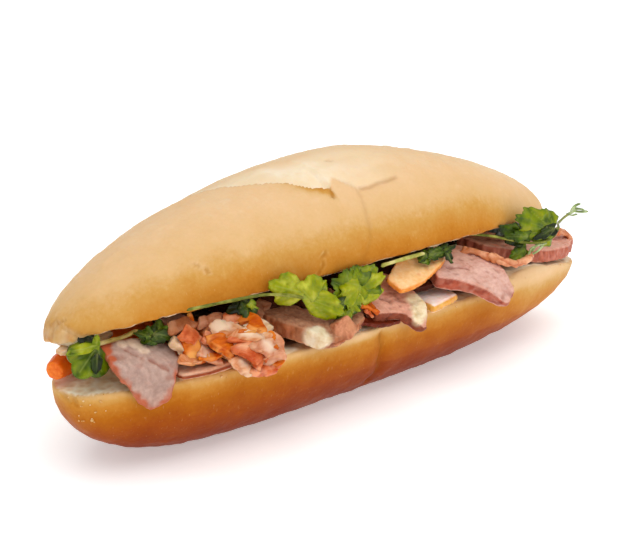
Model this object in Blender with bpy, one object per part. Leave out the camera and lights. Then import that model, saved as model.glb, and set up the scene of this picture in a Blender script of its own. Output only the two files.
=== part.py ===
"""A banh mi sandwich: a short, stubby roll slit along one side and left hinged
along its back, filled with roast pork, pickled carrot and daikon, and coriander.

Lengths are in millimetres until add_object turns them into metres. The roll
lies along X with its open side towards -Y, and rests on its flat underside.
"""
import math

import bmesh
import bpy
import numpy as np
from mathutils import Matrix, Vector

MM = 0.001

# The lower half of the roll.
BASE_LEFT, BASE_RIGHT = -113.6, 116.2
BASE_WIDTH = 70.5
BASE_HEIGHT = 30.3
FLAT_SHARE = 1.025          # how far the round underside would dip below the table
FLAT_LIFT = 0.45            # dough this low was pressed flat by the baking tray

# The upper half, as it was before the roll was opened.
LID_LEFT, LID_RIGHT = -112.7, 100.8
LID_PEAK = 11.6
LID_WIDTH = 74.6
LID_HEIGHT = 40.3
LID_OFFSET = 2.5

# The slit and the hinge that it leaves along the back.
OPENING = math.radians(18.56)
PIVOT_Y = BASE_WIDTH / 2 - 3.0
SLIT_BACK = 25.0
HINGE = 5.0                 # how thick the uncut strip is where the roll narrows
HINGE_LEFT, HINGE_RIGHT = -92.0, 96.0
KERF = 0.2
BEND = 8.1                  # how far the roll curves towards the open side at 100 mm

# The diagonal score on top: its two ends in plan, and the depth of the step behind it.
EAR_START = Vector((-54.0, 9.0))
EAR_END = Vector((-5.0, -22.5))
EAR_DEPTH = 2.2
EAR_FADE = 13.0

STATIONS = 42
BASE_POINTS = 13
LID_POINTS = 19

CRUST = (0.75, 0.42, 0.14)
PORK = (0.62, 0.30, 0.24)
PORK_PALE = (0.74, 0.47, 0.38)
BROWNED = (0.45, 0.13, 0.05)
CARROT = (0.80, 0.22, 0.03)
CARROT_PALE = (0.86, 0.48, 0.17)
DAIKON = (0.85, 0.68, 0.52)
LEAF = (0.13, 0.22, 0.02)
STEM = (0.34, 0.38, 0.08)


# ---------------------------------------------------------------- general tools

def smooth_step(low, high, value):
    """0 below low, 1 above high, and a smooth rise between them."""
    share = min(1.0, max(0.0, (value - low) / (high - low)))
    return share * share * (3 - 2 * share)


def taper(share, power, root):
    """1 in the middle and 0 at either end, where share is -1 or 1."""
    return max(0.0, 1 - abs(share) ** power) ** (1 / root)


def signed_power(value, power):
    return math.copysign(abs(value) ** power, value)


def make_material(name, colour, roughness):
    material = bpy.data.materials.new(name)
    material.use_nodes = True
    shader = material.node_tree.nodes["Principled BSDF"]
    shader.inputs["Base Color"].default_value = (*colour, 1)
    shader.inputs["Roughness"].default_value = roughness
    shader.inputs["Metallic"].default_value = 0
    return material


def add_object(name, vertices, faces, colour, roughness=0.5, smooth=True):
    """One closed mesh object, its faces turned outwards."""
    mesh = bpy.data.meshes.new(name)
    mesh.from_pydata([Vector(v) * MM for v in vertices], [], faces)
    shape = bmesh.new()
    shape.from_mesh(mesh)
    bmesh.ops.remove_doubles(shape, verts=shape.verts, dist=0.00001)
    bmesh.ops.recalc_face_normals(shape, faces=shape.faces)
    shape.to_mesh(mesh)
    shape.free()
    if smooth:
        mesh.shade_smooth()
        mesh.set_sharp_from_angle(angle=math.radians(50))
    mesh.materials.append(make_material(name + "_surface", colour, roughness))
    thing = bpy.data.objects.new(name, mesh)
    bpy.context.scene.collection.objects.link(thing)
    return thing


def join_rings(rings, start=None, end=None):
    """Vertices and faces of a skin over closed rings, with a point or a face at each end."""
    count = len(rings[0])
    vertices = [point for ring in rings for point in ring]
    faces = []
    for ring in range(len(rings) - 1):
        here, there = ring * count, (ring + 1) * count
        for i in range(count):
            j = (i + 1) % count
            faces.append((here + i, here + j, there + j, there + i))
    last = (len(rings) - 1) * count
    for first, tip in ((0, start), (last, end)):
        if tip is None:
            faces.append(tuple(range(first, first + count)))
            continue
        vertices.append(tip)
        apex = len(vertices) - 1
        faces += [(first + i, first + (i + 1) % count, apex) for i in range(count)]
    return vertices, faces


# ---------------------------------------------------------------- the roll

def sideways_bend(x):
    """The ends of the roll curve towards the open side."""
    return -BEND * (x / 100.0) ** 2


def base_point(share, turn):
    """A point on the lower half; turn runs from 0 at the front lip to 1 at the back one."""
    half = (BASE_RIGHT - BASE_LEFT) / 2
    x = (BASE_LEFT + BASE_RIGHT) / 2 + share * half
    left = share < 0
    width = BASE_WIDTH / 2 * taper(share, 2.11 if left else 2.83, 2)
    depth = BASE_HEIGHT * taper(share, 5.08 if left else 2.25, 2) * FLAT_SHARE
    angle = math.pi * (1 + turn)
    y = width * signed_power(math.cos(angle), 0.8) + sideways_bend(x)
    z = BASE_HEIGHT - depth * abs(math.sin(angle)) ** 0.8
    return Vector((x, y, z if z > FLAT_LIFT else 0.0))


def score_depth(x, y):
    """How far the crust drops just behind the ear of the diagonal score."""
    along = EAR_END - EAR_START
    offset = Vector((x, y)) - EAR_START
    share = offset.dot(along) / along.length_squared
    behind = (along.x * offset.y - along.y * offset.x) / along.length
    ends = smooth_step(-0.02, 0.15, share) * (1 - smooth_step(0.9, 1.02, share))
    if behind < 0:
        return -0.25 * EAR_DEPTH * ends * math.exp(behind / 4)
    return EAR_DEPTH * ends * math.exp(-behind / EAR_FADE)


def lid_point(share, turn):
    """A point on the opened upper half; turn runs from 0 at the back to 1 at the front lip."""
    left = share < 0
    x = LID_PEAK + share * (LID_PEAK - LID_LEFT if left else LID_RIGHT - LID_PEAK)
    width = LID_WIDTH / 2 * taper(share, 2.265, 2)
    height = LID_HEIGHT * taper(share, 1.79 if left else 1.5, 1.6)
    angle = math.pi * turn
    y = width * signed_power(math.cos(angle), 2 / 2.2) + sideways_bend(x) + LID_OFFSET
    z = height * abs(math.sin(angle)) ** (2 / 2.2)
    arm = y - PIVOT_Y
    y = PIVOT_Y + arm * math.cos(OPENING) + z * math.sin(OPENING)
    z = BASE_HEIGHT + z * math.cos(OPENING) - arm * math.sin(OPENING)
    return Vector((x, y, z - score_depth(x, y) * abs(math.sin(angle)) ** 2))


def roll_form():
    """The opened roll before it is slit: one ring through both halves at each station."""
    turns = [i / (BASE_POINTS - 1) for i in range(BASE_POINTS)]
    lid_turns = [0.07 + 0.93 * i / (LID_POINTS - 1) for i in range(LID_POINTS)]
    rings = []
    for i in range(1, STATIONS):
        share = -math.cos(math.pi * i / STATIONS)
        rings.append([base_point(share, t) for t in turns] + [lid_point(share, t) for t in lid_turns])
    count = BASE_POINTS + LID_POINTS
    vertices, faces = join_rings(rings)
    faces = faces[:-2]
    last = (len(rings) - 1) * count
    for first, share in ((0, -1), (last, 1)):
        low = len(vertices)
        vertices += [base_point(share, 0.5), lid_point(share, 0.5)]
        low_tip, high_tip = low, low + 1
        for i in range(count):
            j = (i + 1) % count
            tip = [low_tip if n < BASE_POINTS else high_tip for n in (i, j)]
            face = [first + i, first + j] + ([tip[1]] if tip[0] == tip[1] else [tip[1], tip[0]])
            faces.append(tuple(face))
    return vertices, faces


def floor_height(x):
    """The lower cut face: it swells a little towards the right and dips at both tips."""
    rise = 3.4 * smooth_step(44, 64, x) * (1 - smooth_step(68, 92, x))
    dip = 4.5 * smooth_step(86, 114, x) + 1.0 * smooth_step(-98, -113, x)
    return BASE_HEIGHT + rise - dip


def roof_height(y):
    """The upper cut face, which slopes up from the hinge to the open side."""
    return BASE_HEIGHT + (PIVOT_Y - y) * math.tan(OPENING)


def slit_back(x):
    """How deep the slit goes: it leaves a hinge along the back and runs out at both tips."""
    share = (2 * x - BASE_LEFT - BASE_RIGHT) / (BASE_RIGHT - BASE_LEFT)
    edge = base_point(max(-1, min(1, share)), 1).y
    open_end = 30 * (smooth_step(HINGE_LEFT, HINGE_LEFT - 8, x) + smooth_step(HINGE_RIGHT, HINGE_RIGHT + 8, x))
    return min(SLIT_BACK, edge - HINGE) + open_end


def slit_form():
    """The wedge of air between the two cut faces."""
    front = -70.0
    steps = 40
    rings = []
    for i in range(steps + 1):
        x = -130 + 260 * i / steps
        low = floor_height(x) - KERF
        back = slit_back(x)
        rings.append([
            Vector((x, front, low)),
            Vector((x, back, low)),
            Vector((x, back, max(low + 0.5, roof_height(back)))),
            Vector((x, front, roof_height(front) + KERF)),
        ])
    return join_rings(rings)


def build_loaf():
    loaf = add_object("loaf", *roll_form(), CRUST, 0.5)
    slit = add_object("slit_cutter", *slit_form(), CRUST, smooth=False)
    slit.hide_render = True
    slit.display_type = "WIRE"
    cut = loaf.modifiers.new("slit", "BOOLEAN")
    cut.operation = "DIFFERENCE"
    cut.solver = "EXACT"
    cut.object = slit
    return loaf


# ---------------------------------------------------------------- slices and slabs

def round_outline(corners, radius, spacing):
    """A closed outline with rounded corners and extra points along its longer edges."""
    corners = [Vector(c) for c in corners]
    outline = []
    for before, corner, after in zip(corners[-1:] + corners, corners, corners[1:] + corners[:1]):
        back, ahead = before - corner, after - corner
        cut = min(radius, back.length / 3, ahead.length / 3)
        start = corner + back.normalized() * cut
        end = corner + ahead.normalized() * cut
        outline += [start, corner.lerp((start + end) / 2, 0.45), end]
        stretch = (after - end) - ahead.normalized() * min(radius, ahead.length / 3)
        extra = int(stretch.length / spacing)
        outline += [end + stretch * ((i + 1) / (extra + 1)) for i in range(extra)]
    return outline


def bent_path(slopes):
    """A function giving how far out and up a sheet has come, and its slope, after a length."""
    lengths = np.arange(-6.0, 60.0, 0.25)
    keys = [key for key, _ in slopes]
    angles = np.radians(np.interp(lengths, keys, [slope for _, slope in slopes]))
    out = np.cumsum(np.cos(angles)) * 0.25
    up = np.cumsum(np.sin(angles)) * 0.25
    out -= np.interp(0, lengths, out)
    up -= np.interp(0, lengths, up)

    def place(length):
        return [float(np.interp(length, lengths, values)) for values in (out, up, angles)]
    return place


def sheet_mapper(at, yaw, roll, slopes):
    """A function that lays (side, length, height) of a flat sheet along its bent path."""
    place = bent_path(slopes)
    turn = Matrix.Rotation(math.radians(yaw), 3, "Z") @ Matrix.Rotation(math.radians(roll), 3, "Y")
    centre = Vector(at)

    def lay(side, length, height):
        out, up, angle = place(length)
        out -= height * math.sin(angle)
        up += height * math.cos(angle)
        return centre + turn @ Vector((side, -out, up))
    return lay


def add_slab(name, outline, thickness, at, colour, yaw=0, roll=0, slopes=((0, 0), (50, 0)),
             edge=0.7, corner=1.6, spacing=6.5, inner=(0.55,), roughness=0.45):
    """A slab or slice: a rounded outline given as (side, length out), laid along a bent path."""
    rim = round_outline(outline, corner, spacing)
    middle = sum(rim, Vector((0, 0))) / len(rim)
    lay = sheet_mapper(at, yaw, roll, slopes)
    half = thickness / 2
    edge = min(edge, half)
    steps = [(share, -half) for share in inner]
    steps += [(None, -half), (1.0, edge - half), (1.0, half - edge), (None, half)]
    steps += [(share, half) for share in reversed(inner)]
    if half - edge < 0.05:
        steps.remove((1.0, half - edge))
        steps[len(inner) + 1] = (1.0, 0.0)
    rings = []
    for share, height in steps:
        ring = []
        for point in rim:
            spoke = point - middle
            scale = share if share is not None else 1 - edge / max(spoke.length, edge * 2)
            place = middle + spoke * scale
            ring.append(lay(place.x, place.y, height))
        rings.append(ring)
    start, end = lay(*middle, -half), lay(*middle, half)
    return add_object(name, *join_rings(rings, start, end), colour, roughness)


# ---------------------------------------------------------------- strips and stems

def smooth_curve(points, steps):
    """Evenly stepped points on a Catmull-Rom curve through the given ones."""
    points = [Vector(p) for p in points]
    padded = [points[0] * 2 - points[1]] + points + [points[-1] * 2 - points[-2]]
    curve = []
    for a, b, c, d in zip(padded, padded[1:], padded[2:], padded[3:]):
        for i in range(steps):
            t = i / steps
            curve.append(0.5 * (2 * b + (c - a) * t + (2 * a - 5 * b + 4 * c - d) * t * t
                                + (3 * b - a - 3 * c + d) * t ** 3))
    return curve + [points[-1]]


def add_strip(name, points, width, thickness, colour, sides=4, steps=3, ends=0.6, lean=(0, -0.3, 1)):
    """A strip, stem or baton swept along a curve, a little smaller at its two ends."""
    curve = smooth_curve(points, steps)
    rings = []
    for i, centre in enumerate(curve):
        ahead = curve[min(i + 1, len(curve) - 1)] - curve[max(i - 1, 0)]
        across = ahead.cross(Vector(lean)).normalized()
        normal = across.cross(ahead).normalized()
        end = ends if i in (0, len(curve) - 1) else 1
        ring = []
        for n in range(sides):
            angle = 2 * math.pi * (n + 0.5) / sides
            reach = 1 / max(abs(math.cos(angle)), abs(math.sin(angle))) if sides == 4 else 1
            ring.append(centre + across * (math.cos(angle) * reach * width / 2 * end)
                        + normal * (math.sin(angle) * reach * thickness / 2 * end))
        rings.append(ring)
    return add_object(name, *join_rings(rings), colour, 0.4)


def add_leaf(name, size, at, colour=LEAF, yaw=0, roll=0, slopes=((0, -70), (20, -70)),
             lobes=3, depth=0.2, stretch=1.0, thickness=0.5, cup=0.0):
    """A coriander leaf: a thin plate with round lobes, stalk end at its start."""
    lay = sheet_mapper(at, yaw, roll, slopes)
    count = 6 * lobes
    rings = []
    for share, height in ((0.5, -0.5), (1.0, -0.5), (1.0, 0.5), (0.5, 0.5)):
        ring = []
        for i in range(count):
            angle = 2 * math.pi * i / count
            lobe = 1 - depth * (0.5 + 0.5 * math.cos(lobes * angle))
            radius = size / 2 * share * lobe
            side = radius * math.sin(angle)
            length = size / 2 + radius * math.cos(angle) * stretch
            lift = height * thickness + cup * (share * lobe) ** 2
            ring.append(lay(side, length, lift))
        rings.append(ring)
    start, end = lay(0, size / 2, -thickness / 2), lay(0, size / 2, thickness / 2)
    return add_object(name, *join_rings(rings, start, end), colour, 0.45)


# ---------------------------------------------------------------- the fillings

def build_pork():
    add_slab("pork_slice_left",
             [(-11.5, 2), (-2, -1), (10, 1), (12.5, 8), (9, 16.5), (7.5, 22.5), (2.5, 25), (-3, 20.5), (-10, 11)],
             2.2, (-90.9, -16.5, 40.7), PORK_PALE, yaw=-16, roll=9, inner=(0.35, 0.7),
             slopes=((0, -17), (10, -27), (14.5, -62), (17.5, -88), (30, -91)))
    add_slab("pork_slice_thin", [(-4, 0), (15, 0), (15, 12.5), (6, 14), (-3.5, 13)],
             2.0, (-80, -19.5, 31.7), PORK_PALE, yaw=-7, slopes=((0, -1), (30, -3)))
    add_slab("pork_slab_centre",
             [(-21, 3), (-5, -1), (14, 0), (15, 16), (10, 22.5), (-4, 27), (-12, 26), (-18.5, 15)],
             5.6, (-27.5, -15.5, 38.2), PORK, yaw=2, roll=3, slopes=((0, -9), (19, -10), (26, -40)))
    add_slab("pork_chunk",
             [(-13, 8), (-6, 0), (10, -1), (11.5, 9), (10, 19), (3, 27), (-3, 19.5), (-13, 17)],
             4.2, (0.5, -20, 39.4), PORK, yaw=4, roll=2, slopes=((0, -19), (17, -21), (26, -66)))
    add_slab("pork_slab_right",
             [(-14, 6), (-4, -3), (9, 1), (16, 12.5), (11, 28), (4.5, 31.5), (-3, 25.5), (-13, 18), (-19.5, 14.5)],
             4.6, (37, -19, 42.6), PORK_PALE, yaw=6, roll=3, slopes=((0, -16), (18, -22), (31, -72)))
    add_slab("pork_slab_end",
             [(-29, 5), (-20, 0), (24, 0), (29, 8), (26, 16), (15, 23.5), (0, 26.5), (-16, 25), (-28, 18)],
             5.0, (84.5, -5.5, 36.5), PORK, roll=9, slopes=((0, -3), (30, -7)))
    add_slab("pork_inner_left", [(-19, 0), (19, 0), (17, 19), (-19, 18)],
             3.6, (-27, 10, 34.4), PORK, slopes=((0, 3), (20, 5)))
    add_slab("pork_inner_centre", [(-18, 0), (18, 0), (16, 19), (-18, 18)],
             3.6, (14, 10, 34.4), PORK, slopes=((0, 3), (20, 5)))
    add_slab("pork_inner_right", [(-16, 0), (23, 0), (29, 5), (27, 10), (-17, 10)],
             3.0, (68, 6, 37.0), PORK, roll=-1, slopes=((0, 12), (20, 18)))
    add_slab("ham_bit_left", [(-4.5, 0), (4.5, 0), (5, 8), (-4.5, 9)],
             3.2, (-73, -8, 41.2), PORK, yaw=-8, slopes=((0, 3), (10, 0)))
    add_strip("browned_strip",
              [(43, -18.5, 46.2), (43.5, -24, 46.0), (48.5, -28.5, 43.6), (55.5, -33, 40.2),
               (62, -36.5, 37.5), (71.5, -35.0, 37.0)], 5.0, 1.7, BROWNED)
    add_strip("browned_end", [(102, 1.5, 35.2), (109, 0, 35.8), (115.5, -2.5, 34.4), (118.5, -8.5, 30.5)],
              4.6, 2.4, BROWNED)


def build_pickles():
    add_strip("carrot_baton", [(-70, 6, 34.6), (-90, 3.0, 34.5), (-103, -2, 34.4), (-112, -6.5, 33.8)],
              8.0, 8.0, CARROT, sides=8, ends=0.75, steps=2)
    add_strip("daikon_stick", [(-92, -6, 40.8), (-103, -8, 40.8), (-112.5, -10, 40.6)], 4.0, 2.2, DAIKON)
    add_slab("pickle_heap",
             [(-11.5, 1), (9, 0), (13, 9), (12, 19), (2, 27.5), (-8, 26), (-11.8, 14)],
             10.0, (-60.3, -18, 38.4), CARROT_PALE, yaw=-4, roll=7, edge=3.4, corner=4,
             slopes=((0, -3), (15, -8), (25, -42)))
    add_slab("carrot_wedge", [(-3.2, 0), (2.8, 0), (4, 8.6), (-2.8, 8.6)],
             3.0, (-78.2, -26.0, 41.2), CARROT, yaw=-8, slopes=((0, -52), (10, -66)), corner=1.0)
    add_strip("carrot_shred", [(-73, -20, 45.8), (-74.2, -23, 43), (-74.6, -23.4, 38.6)],
              3.2, 1.7, CARROT, lean=(1, -1, 0))
    add_slab("carrot_slab", [(-13.5, 2), (-4, -3), (13.5, -2), (14, 5), (-2, 9.5), (-13, 9)],
             2.6, (16, -27.2, 46.2), CARROT_PALE, yaw=3, roll=-5, slopes=((0, -20), (12, -32)))
    add_slab("pale_slab", [(-6, 0), (8, 0), (8, 18), (-7.5, 20.5)],
             3.0, (20.5, -18.5, 32.1), DAIKON, yaw=2, slopes=((0, 0), (15, -1), (22, -12)))


def build_herbs():
    add_leaf("leaf_left", 11.5, (-108.5, -16.5, 45.4), yaw=-28, slopes=((0, -30), (6, -75), (12, -60)))
    add_leaf("leaf_curly", 13.0, (-84, -10.5, 44.0), yaw=-10, slopes=((0, -8), (13, -22)), stretch=0.7)
    add_leaf("leaf_dark", 8.5, (-62.5, -24, 48.4), slopes=((0, -40), (9, -60)), stretch=0.8)
    add_leaf("leaf_bright", 22.0, (-37, -33, 57.6), yaw=-6, roll=26, lobes=4,
             slopes=((0, -80), (21, -76)), stretch=0.6)
    add_leaf("leaf_veined", 25.0, (-17.5, -30.3, 54.0), yaw=0, roll=6, lobes=4,
             slopes=((0, -50), (8, -66), (24, -76)), stretch=0.62)
    add_leaf("leaf_upper", 15.0, (27, -25.5, 48.4), yaw=3, roll=-2, lobes=4,
             slopes=((0, -4), (15, -8)), stretch=0.6)
    add_leaf("leaf_right", 19.5, (72.5, -34.5, 58.6), yaw=-16, roll=16, lobes=4,
             slopes=((0, -82), (18, -84)), stretch=0.62)
    add_leaf("leaf_small", 7.5, (65.0, -30.8, 44.2), yaw=6, slopes=((0, -45), (8, -50)))
    add_strip("stem_centre", [(-80, -29.5, 51.5), (-70, -30.8, 51.8), (-58, -31.8, 51.8)],
              1.6, 1.6, STEM, sides=6)
    add_strip("stem_upper", [(-3, -30.5, 49.8), (5, -31.2, 50), (12, -31.3, 49.8), (18, -30.5, 49.4)],
              1.7, 1.7, STEM, sides=6)
    add_strip("stem_right",
              [(43, -27.5, 50.0), (56, -31, 46.4), (65, -34.6, 43.8), (73, -36.0, 42.0),
               (82, -34.5, 41.2), (91, -30, 41.4), (98, -25.5, 43.6), (107, -21.5, 44.0),
               (117, -19.5, 44.6), (126, -18.5, 42.2)], 1.4, 1.4, STEM, sides=6, steps=2, ends=0.4)


# ---------------------------------------------------------------- the whole sandwich

def stand_at_origin(things):
    """Move everything so that the middle of the underside of the whole is the origin."""
    bpy.context.view_layer.update()
    corners = [thing.matrix_world @ Vector(c) for thing in things for c in thing.bound_box]
    low = Vector([min(c[i] for c in corners) for i in range(3)])
    high = Vector([max(c[i] for c in corners) for i in range(3)])
    shift = Vector((-(low.x + high.x) / 2, -(low.y + high.y) / 2, -low.z))
    for thing in bpy.data.objects:
        thing.data.transform(Matrix.Translation(shift))


def main():
    for thing in list(bpy.data.objects):
        bpy.data.objects.remove(thing, do_unlink=True)
    build_loaf()
    build_pork()
    build_pickles()
    build_herbs()
    stand_at_origin([thing for thing in bpy.data.objects if thing.name != "slit_cutter"])


main()
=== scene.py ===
import math

import bmesh
import bpy
import numpy as np
from mathutils import Matrix, Vector
from mathutils.bvhtree import BVHTree
from mathutils.geometry import delaunay_2d_cdt
from mathutils.kdtree import KDTree


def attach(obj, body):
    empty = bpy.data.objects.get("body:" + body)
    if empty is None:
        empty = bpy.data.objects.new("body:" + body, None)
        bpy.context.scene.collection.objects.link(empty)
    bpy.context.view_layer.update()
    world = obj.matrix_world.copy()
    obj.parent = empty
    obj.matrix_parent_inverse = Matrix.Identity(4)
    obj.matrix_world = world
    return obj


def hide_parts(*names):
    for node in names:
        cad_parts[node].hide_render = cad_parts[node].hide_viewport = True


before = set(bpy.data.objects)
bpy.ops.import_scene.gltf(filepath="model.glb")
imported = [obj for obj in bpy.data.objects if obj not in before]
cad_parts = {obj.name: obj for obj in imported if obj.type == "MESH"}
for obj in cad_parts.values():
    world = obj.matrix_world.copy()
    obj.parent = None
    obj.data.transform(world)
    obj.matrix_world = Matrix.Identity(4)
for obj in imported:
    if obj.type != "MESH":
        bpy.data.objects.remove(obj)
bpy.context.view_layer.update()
bpy.context.scene.view_settings.view_transform = "Standard"

# ---------------------------------------------------------------- the roll
# A stubby wheat roll with a thin, satin crust that is pale gold on top and deep
# orange-brown below. It was scored once before baking, and is slit along one side
# and opened on the hinge of crust that the knife left along its back.

MM = 0.001
ROLL_AT = np.array([-5.499, 1.870, 0])      # the middle of the roll in the sandwich
BASE_LEFT, BASE_RIGHT, BASE_WIDTH, BASE_HEIGHT = -113.6, 116.2, 70.5, 30.3
LID_LEFT, LID_RIGHT, LID_PEAK, LID_WIDTH, LID_HEIGHT = -112.7, 103, 11.6, 74.6, 40.3
BOW = 8.1                   # how far the roll bends forward at 100 mm from its middle
OPENING = math.radians(18.56)
PIVOT_Y = BASE_WIDTH / 2 - 3
SLIT_BACK = 25              # how far back the knife went
HINGE, HINGE_LEFT, HINGE_RIGHT = 5, -92, 96       # the uncut strip: thickness and ends
CRUST_THICK, CRUST_VOXEL = 1.3, 0.95
ROUND_STEPS = 150           # rings along the roll
LIP_SPARE = 1.6             # extra dough on the upper lip, worn away as it is rounded
TORN_TIP, TORN_SIZE = (-105.6, -6.2, 43.8), (6.6, 8, 3)     # the torn end of the upper half

# Lines on the crust, each a row of points on the roll: the score's ear, the crease where
# the dough swelled round it, and the shorter splits.
EAR_LINE = ((-64, 15.5, 68), (-54, 12.4, 70.4), (-46.5, 9.2, 72), (-42.8, 6.4, 73), (-37.2, -0.8, 74.4),
            (-32.4, -3.6, 75), (-27.8, -6.6, 75.1), (-23.2, -9.6, 74.7), (-18.4, -13.4, 73.8),
            (-12.1, -15.8, 72.8))
NOTCH = ((-11.9, -15, 73.2), (-12.4, -17.2, 72.1), (-13.4, -18.8, 70.8))
FLAP_LINE = ((-2.3, -17.6, 72.1), (3.4, -18.3, 71.9), (7.6, -17.8, 72.5), (12.4, -17.7, 72.7),
             (17.7, -17.2, 73.1))
UPPER_CREASE = ((-8, -11.4, 75.6), (-4.1, -15.2, 73.6), (-2.3, -17.6, 72.1), (-2.7, -20.5, 69.6),
                (-3.4, -22.7, 67.1), (-4.2, -25, 64.4), (-4.9, -27.2, 60.6), (-5.9, -28.7, 57.7),
                (-7.6, -29.5, 55.5), (-10, -30.3, 53.4), (-12.7, -30.8, 52.1))
LOWER_CREASE = ((-6.7, -35.2, 29.5), (-6.3, -35.2, 25.5), (-5.5, -34.6, 21.5), (-5.5, -33.3, 16.8),
                (-4.3, -30.9, 12.2), (-6, -26, 6))
TOP_SPLIT = ((-3.7, -3.3, 78.6), (-2, -3.5, 78.7), (-0.6, -4.9, 78.4))
LID_CRACKS = (((-72.5, -20.5, 62.5), (-69, -22.5, 61), (-67.5, -23.5, 58.5)),
              ((-24.8, -28.3, 57.3), (-27.3, -28.7, 56), (-27.3, -29.7, 53.6), (-30.5, -30, 51)))
TIP_CRACKS = (((-112.5, -5.9, 44.1), (-111.5, -5.1, 46.1), (-110.1, -6.4, 48.3), (-109, -8.6, 49.6)),
              ((-110.1, -6.4, 48), (-110.2, -11.3, 47.2), (-109.2, -13.8, 46.1), (-106.2, -15, 44.6)),
              ((-111.4, -9.4, 45.4), (-109.8, -11.8, 44.8)))
LOWER_CRACKS = (((-22, -37.5, 29.5), (-23.5, -37.5, 26.5), (-22.5, -37, 24)),
                ((-112.1, -10.2, 29.2), (-112.6, -12.4, 28.6), (-113, -13.7, 28), (-112.5, -15, 27)),
                ((-111, -14.2, 29.4), (-111.7, -15.8, 28.2), (-111.9, -16.8, 26.6)))


def smooth_step(low, high, value):
    """0 below low, 1 above high, and a smooth rise between them."""
    share = np.clip((value - low) / (high - low), 0, 1)
    return share * share * (3 - 2 * share)


def lumps(points, size, seed=0, stretch=(1, 1, 1)):
    """Smooth random lumps between -1 and 1, about size millimetres across."""
    spots = np.asarray(points) / (size * np.array(stretch)) + seed * 17.37
    cell = np.floor(spots).astype(np.int64)
    share = spots - cell
    share = share * share * (3 - 2 * share)
    total = np.zeros(len(spots))
    for corner in np.ndindex(2, 2, 2):
        n = cell + corner
        code = (n[:, 0] * 73856093) ^ (n[:, 1] * 19349663) ^ (n[:, 2] * 83492791)
        code = (code * 2654435761 + 97) & 0xFFFFFFFF
        value = ((code >> 11) & 0xFFFF) / 32767.5 - 1
        total += value * np.prod(np.where(corner, share, 1 - share), axis=1)
    return total


def rough(points, size, seed=0, stretch=(1, 1, 1)):
    """Lumps with two finer layers added."""
    return (lumps(points, size, seed, stretch) + 0.5 * lumps(points, size / 2.1, seed + 1, stretch)
            + 0.25 * lumps(points, size / 4.3, seed + 2, stretch)) / 1.4


def line_distance(points, line):
    """How far each point is from a line of points, and how far along it, from 0 to 1."""
    line = np.array(line, float)
    steps = np.linalg.norm(np.diff(line, axis=0), axis=1)
    starts = np.concatenate([[0], np.cumsum(steps)])
    best = np.full(len(points), 1e9)
    along = np.zeros(len(points))
    for i in range(len(steps)):
        way = line[i + 1] - line[i]
        share = np.clip(((points - line[i]) @ way) / (way @ way), 0, 1)
        gap = np.linalg.norm(points - line[i] - share[:, None] * way, axis=1)
        nearer = gap < best
        best[nearer] = gap[nearer]
        along[nearer] = ((starts[i] + share * steps[i]) / starts[-1])[nearer]
    return best, along


def taper(share, power, root):
    """1 in the middle, falling to 0 at both tips; the powers set how blunt the tips are."""
    return np.maximum(0, 1 - np.abs(share) ** power) ** (1 / root)


def lower_half(share, turn):
    """Points on the lower half; turn runs from 0 at the front lip to 1 at the back one."""
    x = (BASE_LEFT + BASE_RIGHT) / 2 + share * (BASE_RIGHT - BASE_LEFT) / 2 + 0 * turn
    left = share < 0
    width = BASE_WIDTH / 2 * taper(share, 2.11 if left else 2.83, 2)
    depth = BASE_HEIGHT * taper(share, 5.08 if left else 2.25, 2) * 1.025
    around = np.cos(math.pi * (1 + turn))
    down = np.abs(np.sin(math.pi * (1 + turn)))
    y = width * np.sign(around) * np.abs(around) ** 0.8 - BOW * (x / 100) ** 2
    z = np.maximum(0, BASE_HEIGHT - depth * down ** 0.8)
    return np.stack([x, y, z], axis=-1)


def upper_half(share, turn):
    """Points on the opened upper half; turn runs from 0 at the back to 1 at the front lip."""
    left = share < 0
    x = LID_PEAK + share * (LID_PEAK - LID_LEFT if left else LID_RIGHT - LID_PEAK) + 0 * turn
    around, up = np.cos(math.pi * turn), np.abs(np.sin(math.pi * turn))
    y = LID_WIDTH / 2 * taper(share, 2.265, 2) * np.sign(around) * np.abs(around) ** (2 / 2.2)
    y += 2.5 - BOW * (x / 100) ** 2
    z = LID_HEIGHT * taper(share, 1.79 if left else 1.5, 1.6) * up ** (2 / 2.2)
    arm = y - PIVOT_Y
    opened_y = PIVOT_Y + arm * math.cos(OPENING) + z * math.sin(OPENING)
    opened_z = BASE_HEIGHT + z * math.cos(OPENING) - arm * math.sin(OPENING)
    return np.stack([x, opened_y, opened_z], axis=-1)


def mesh_object(name, points, faces):
    """A mesh object from points in millimetres of the roll's own place."""
    mesh = bpy.data.meshes.new(name)
    mesh.from_pydata(((np.asarray(points) + ROLL_AT) * MM).tolist(), [], faces)
    thing = bpy.data.objects.new(name, mesh)
    bpy.context.scene.collection.objects.link(thing)
    return thing


def ring_faces(rings, count):
    """The faces of a tube: rings of count points each."""
    faces = []
    for ring in range(rings - 1):
        here, there = ring * count, (ring + 1) * count
        for i in range(count):
            j = (i + 1) % count
            faces.append((here + i, here + j, there + j, there + i))
    return faces


def select_only(thing):
    bpy.ops.object.select_all(action="DESELECT")
    thing.select_set(True)
    bpy.context.view_layer.objects.active = thing


def shade_smooth(thing):
    select_only(thing)
    bpy.ops.object.shade_smooth()


def apply_modifier(thing, kind, **settings):
    select_only(thing)
    modifier = thing.modifiers.new(kind.lower(), kind)
    for key, value in settings.items():
        setattr(modifier, key, value)
    bpy.ops.object.modifier_apply(modifier=modifier.name)


def mm_points(thing):
    """The piece's points in millimetres of the roll's own place, and their normals."""
    count = len(thing.data.vertices)
    points, normals = np.zeros(count * 3), np.zeros(count * 3)
    thing.data.vertices.foreach_get("co", points)
    thing.data.vertex_normals.foreach_get("vector", normals)
    return points.reshape(-1, 3) / MM - ROLL_AT, normals.reshape(-1, 3)


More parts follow.
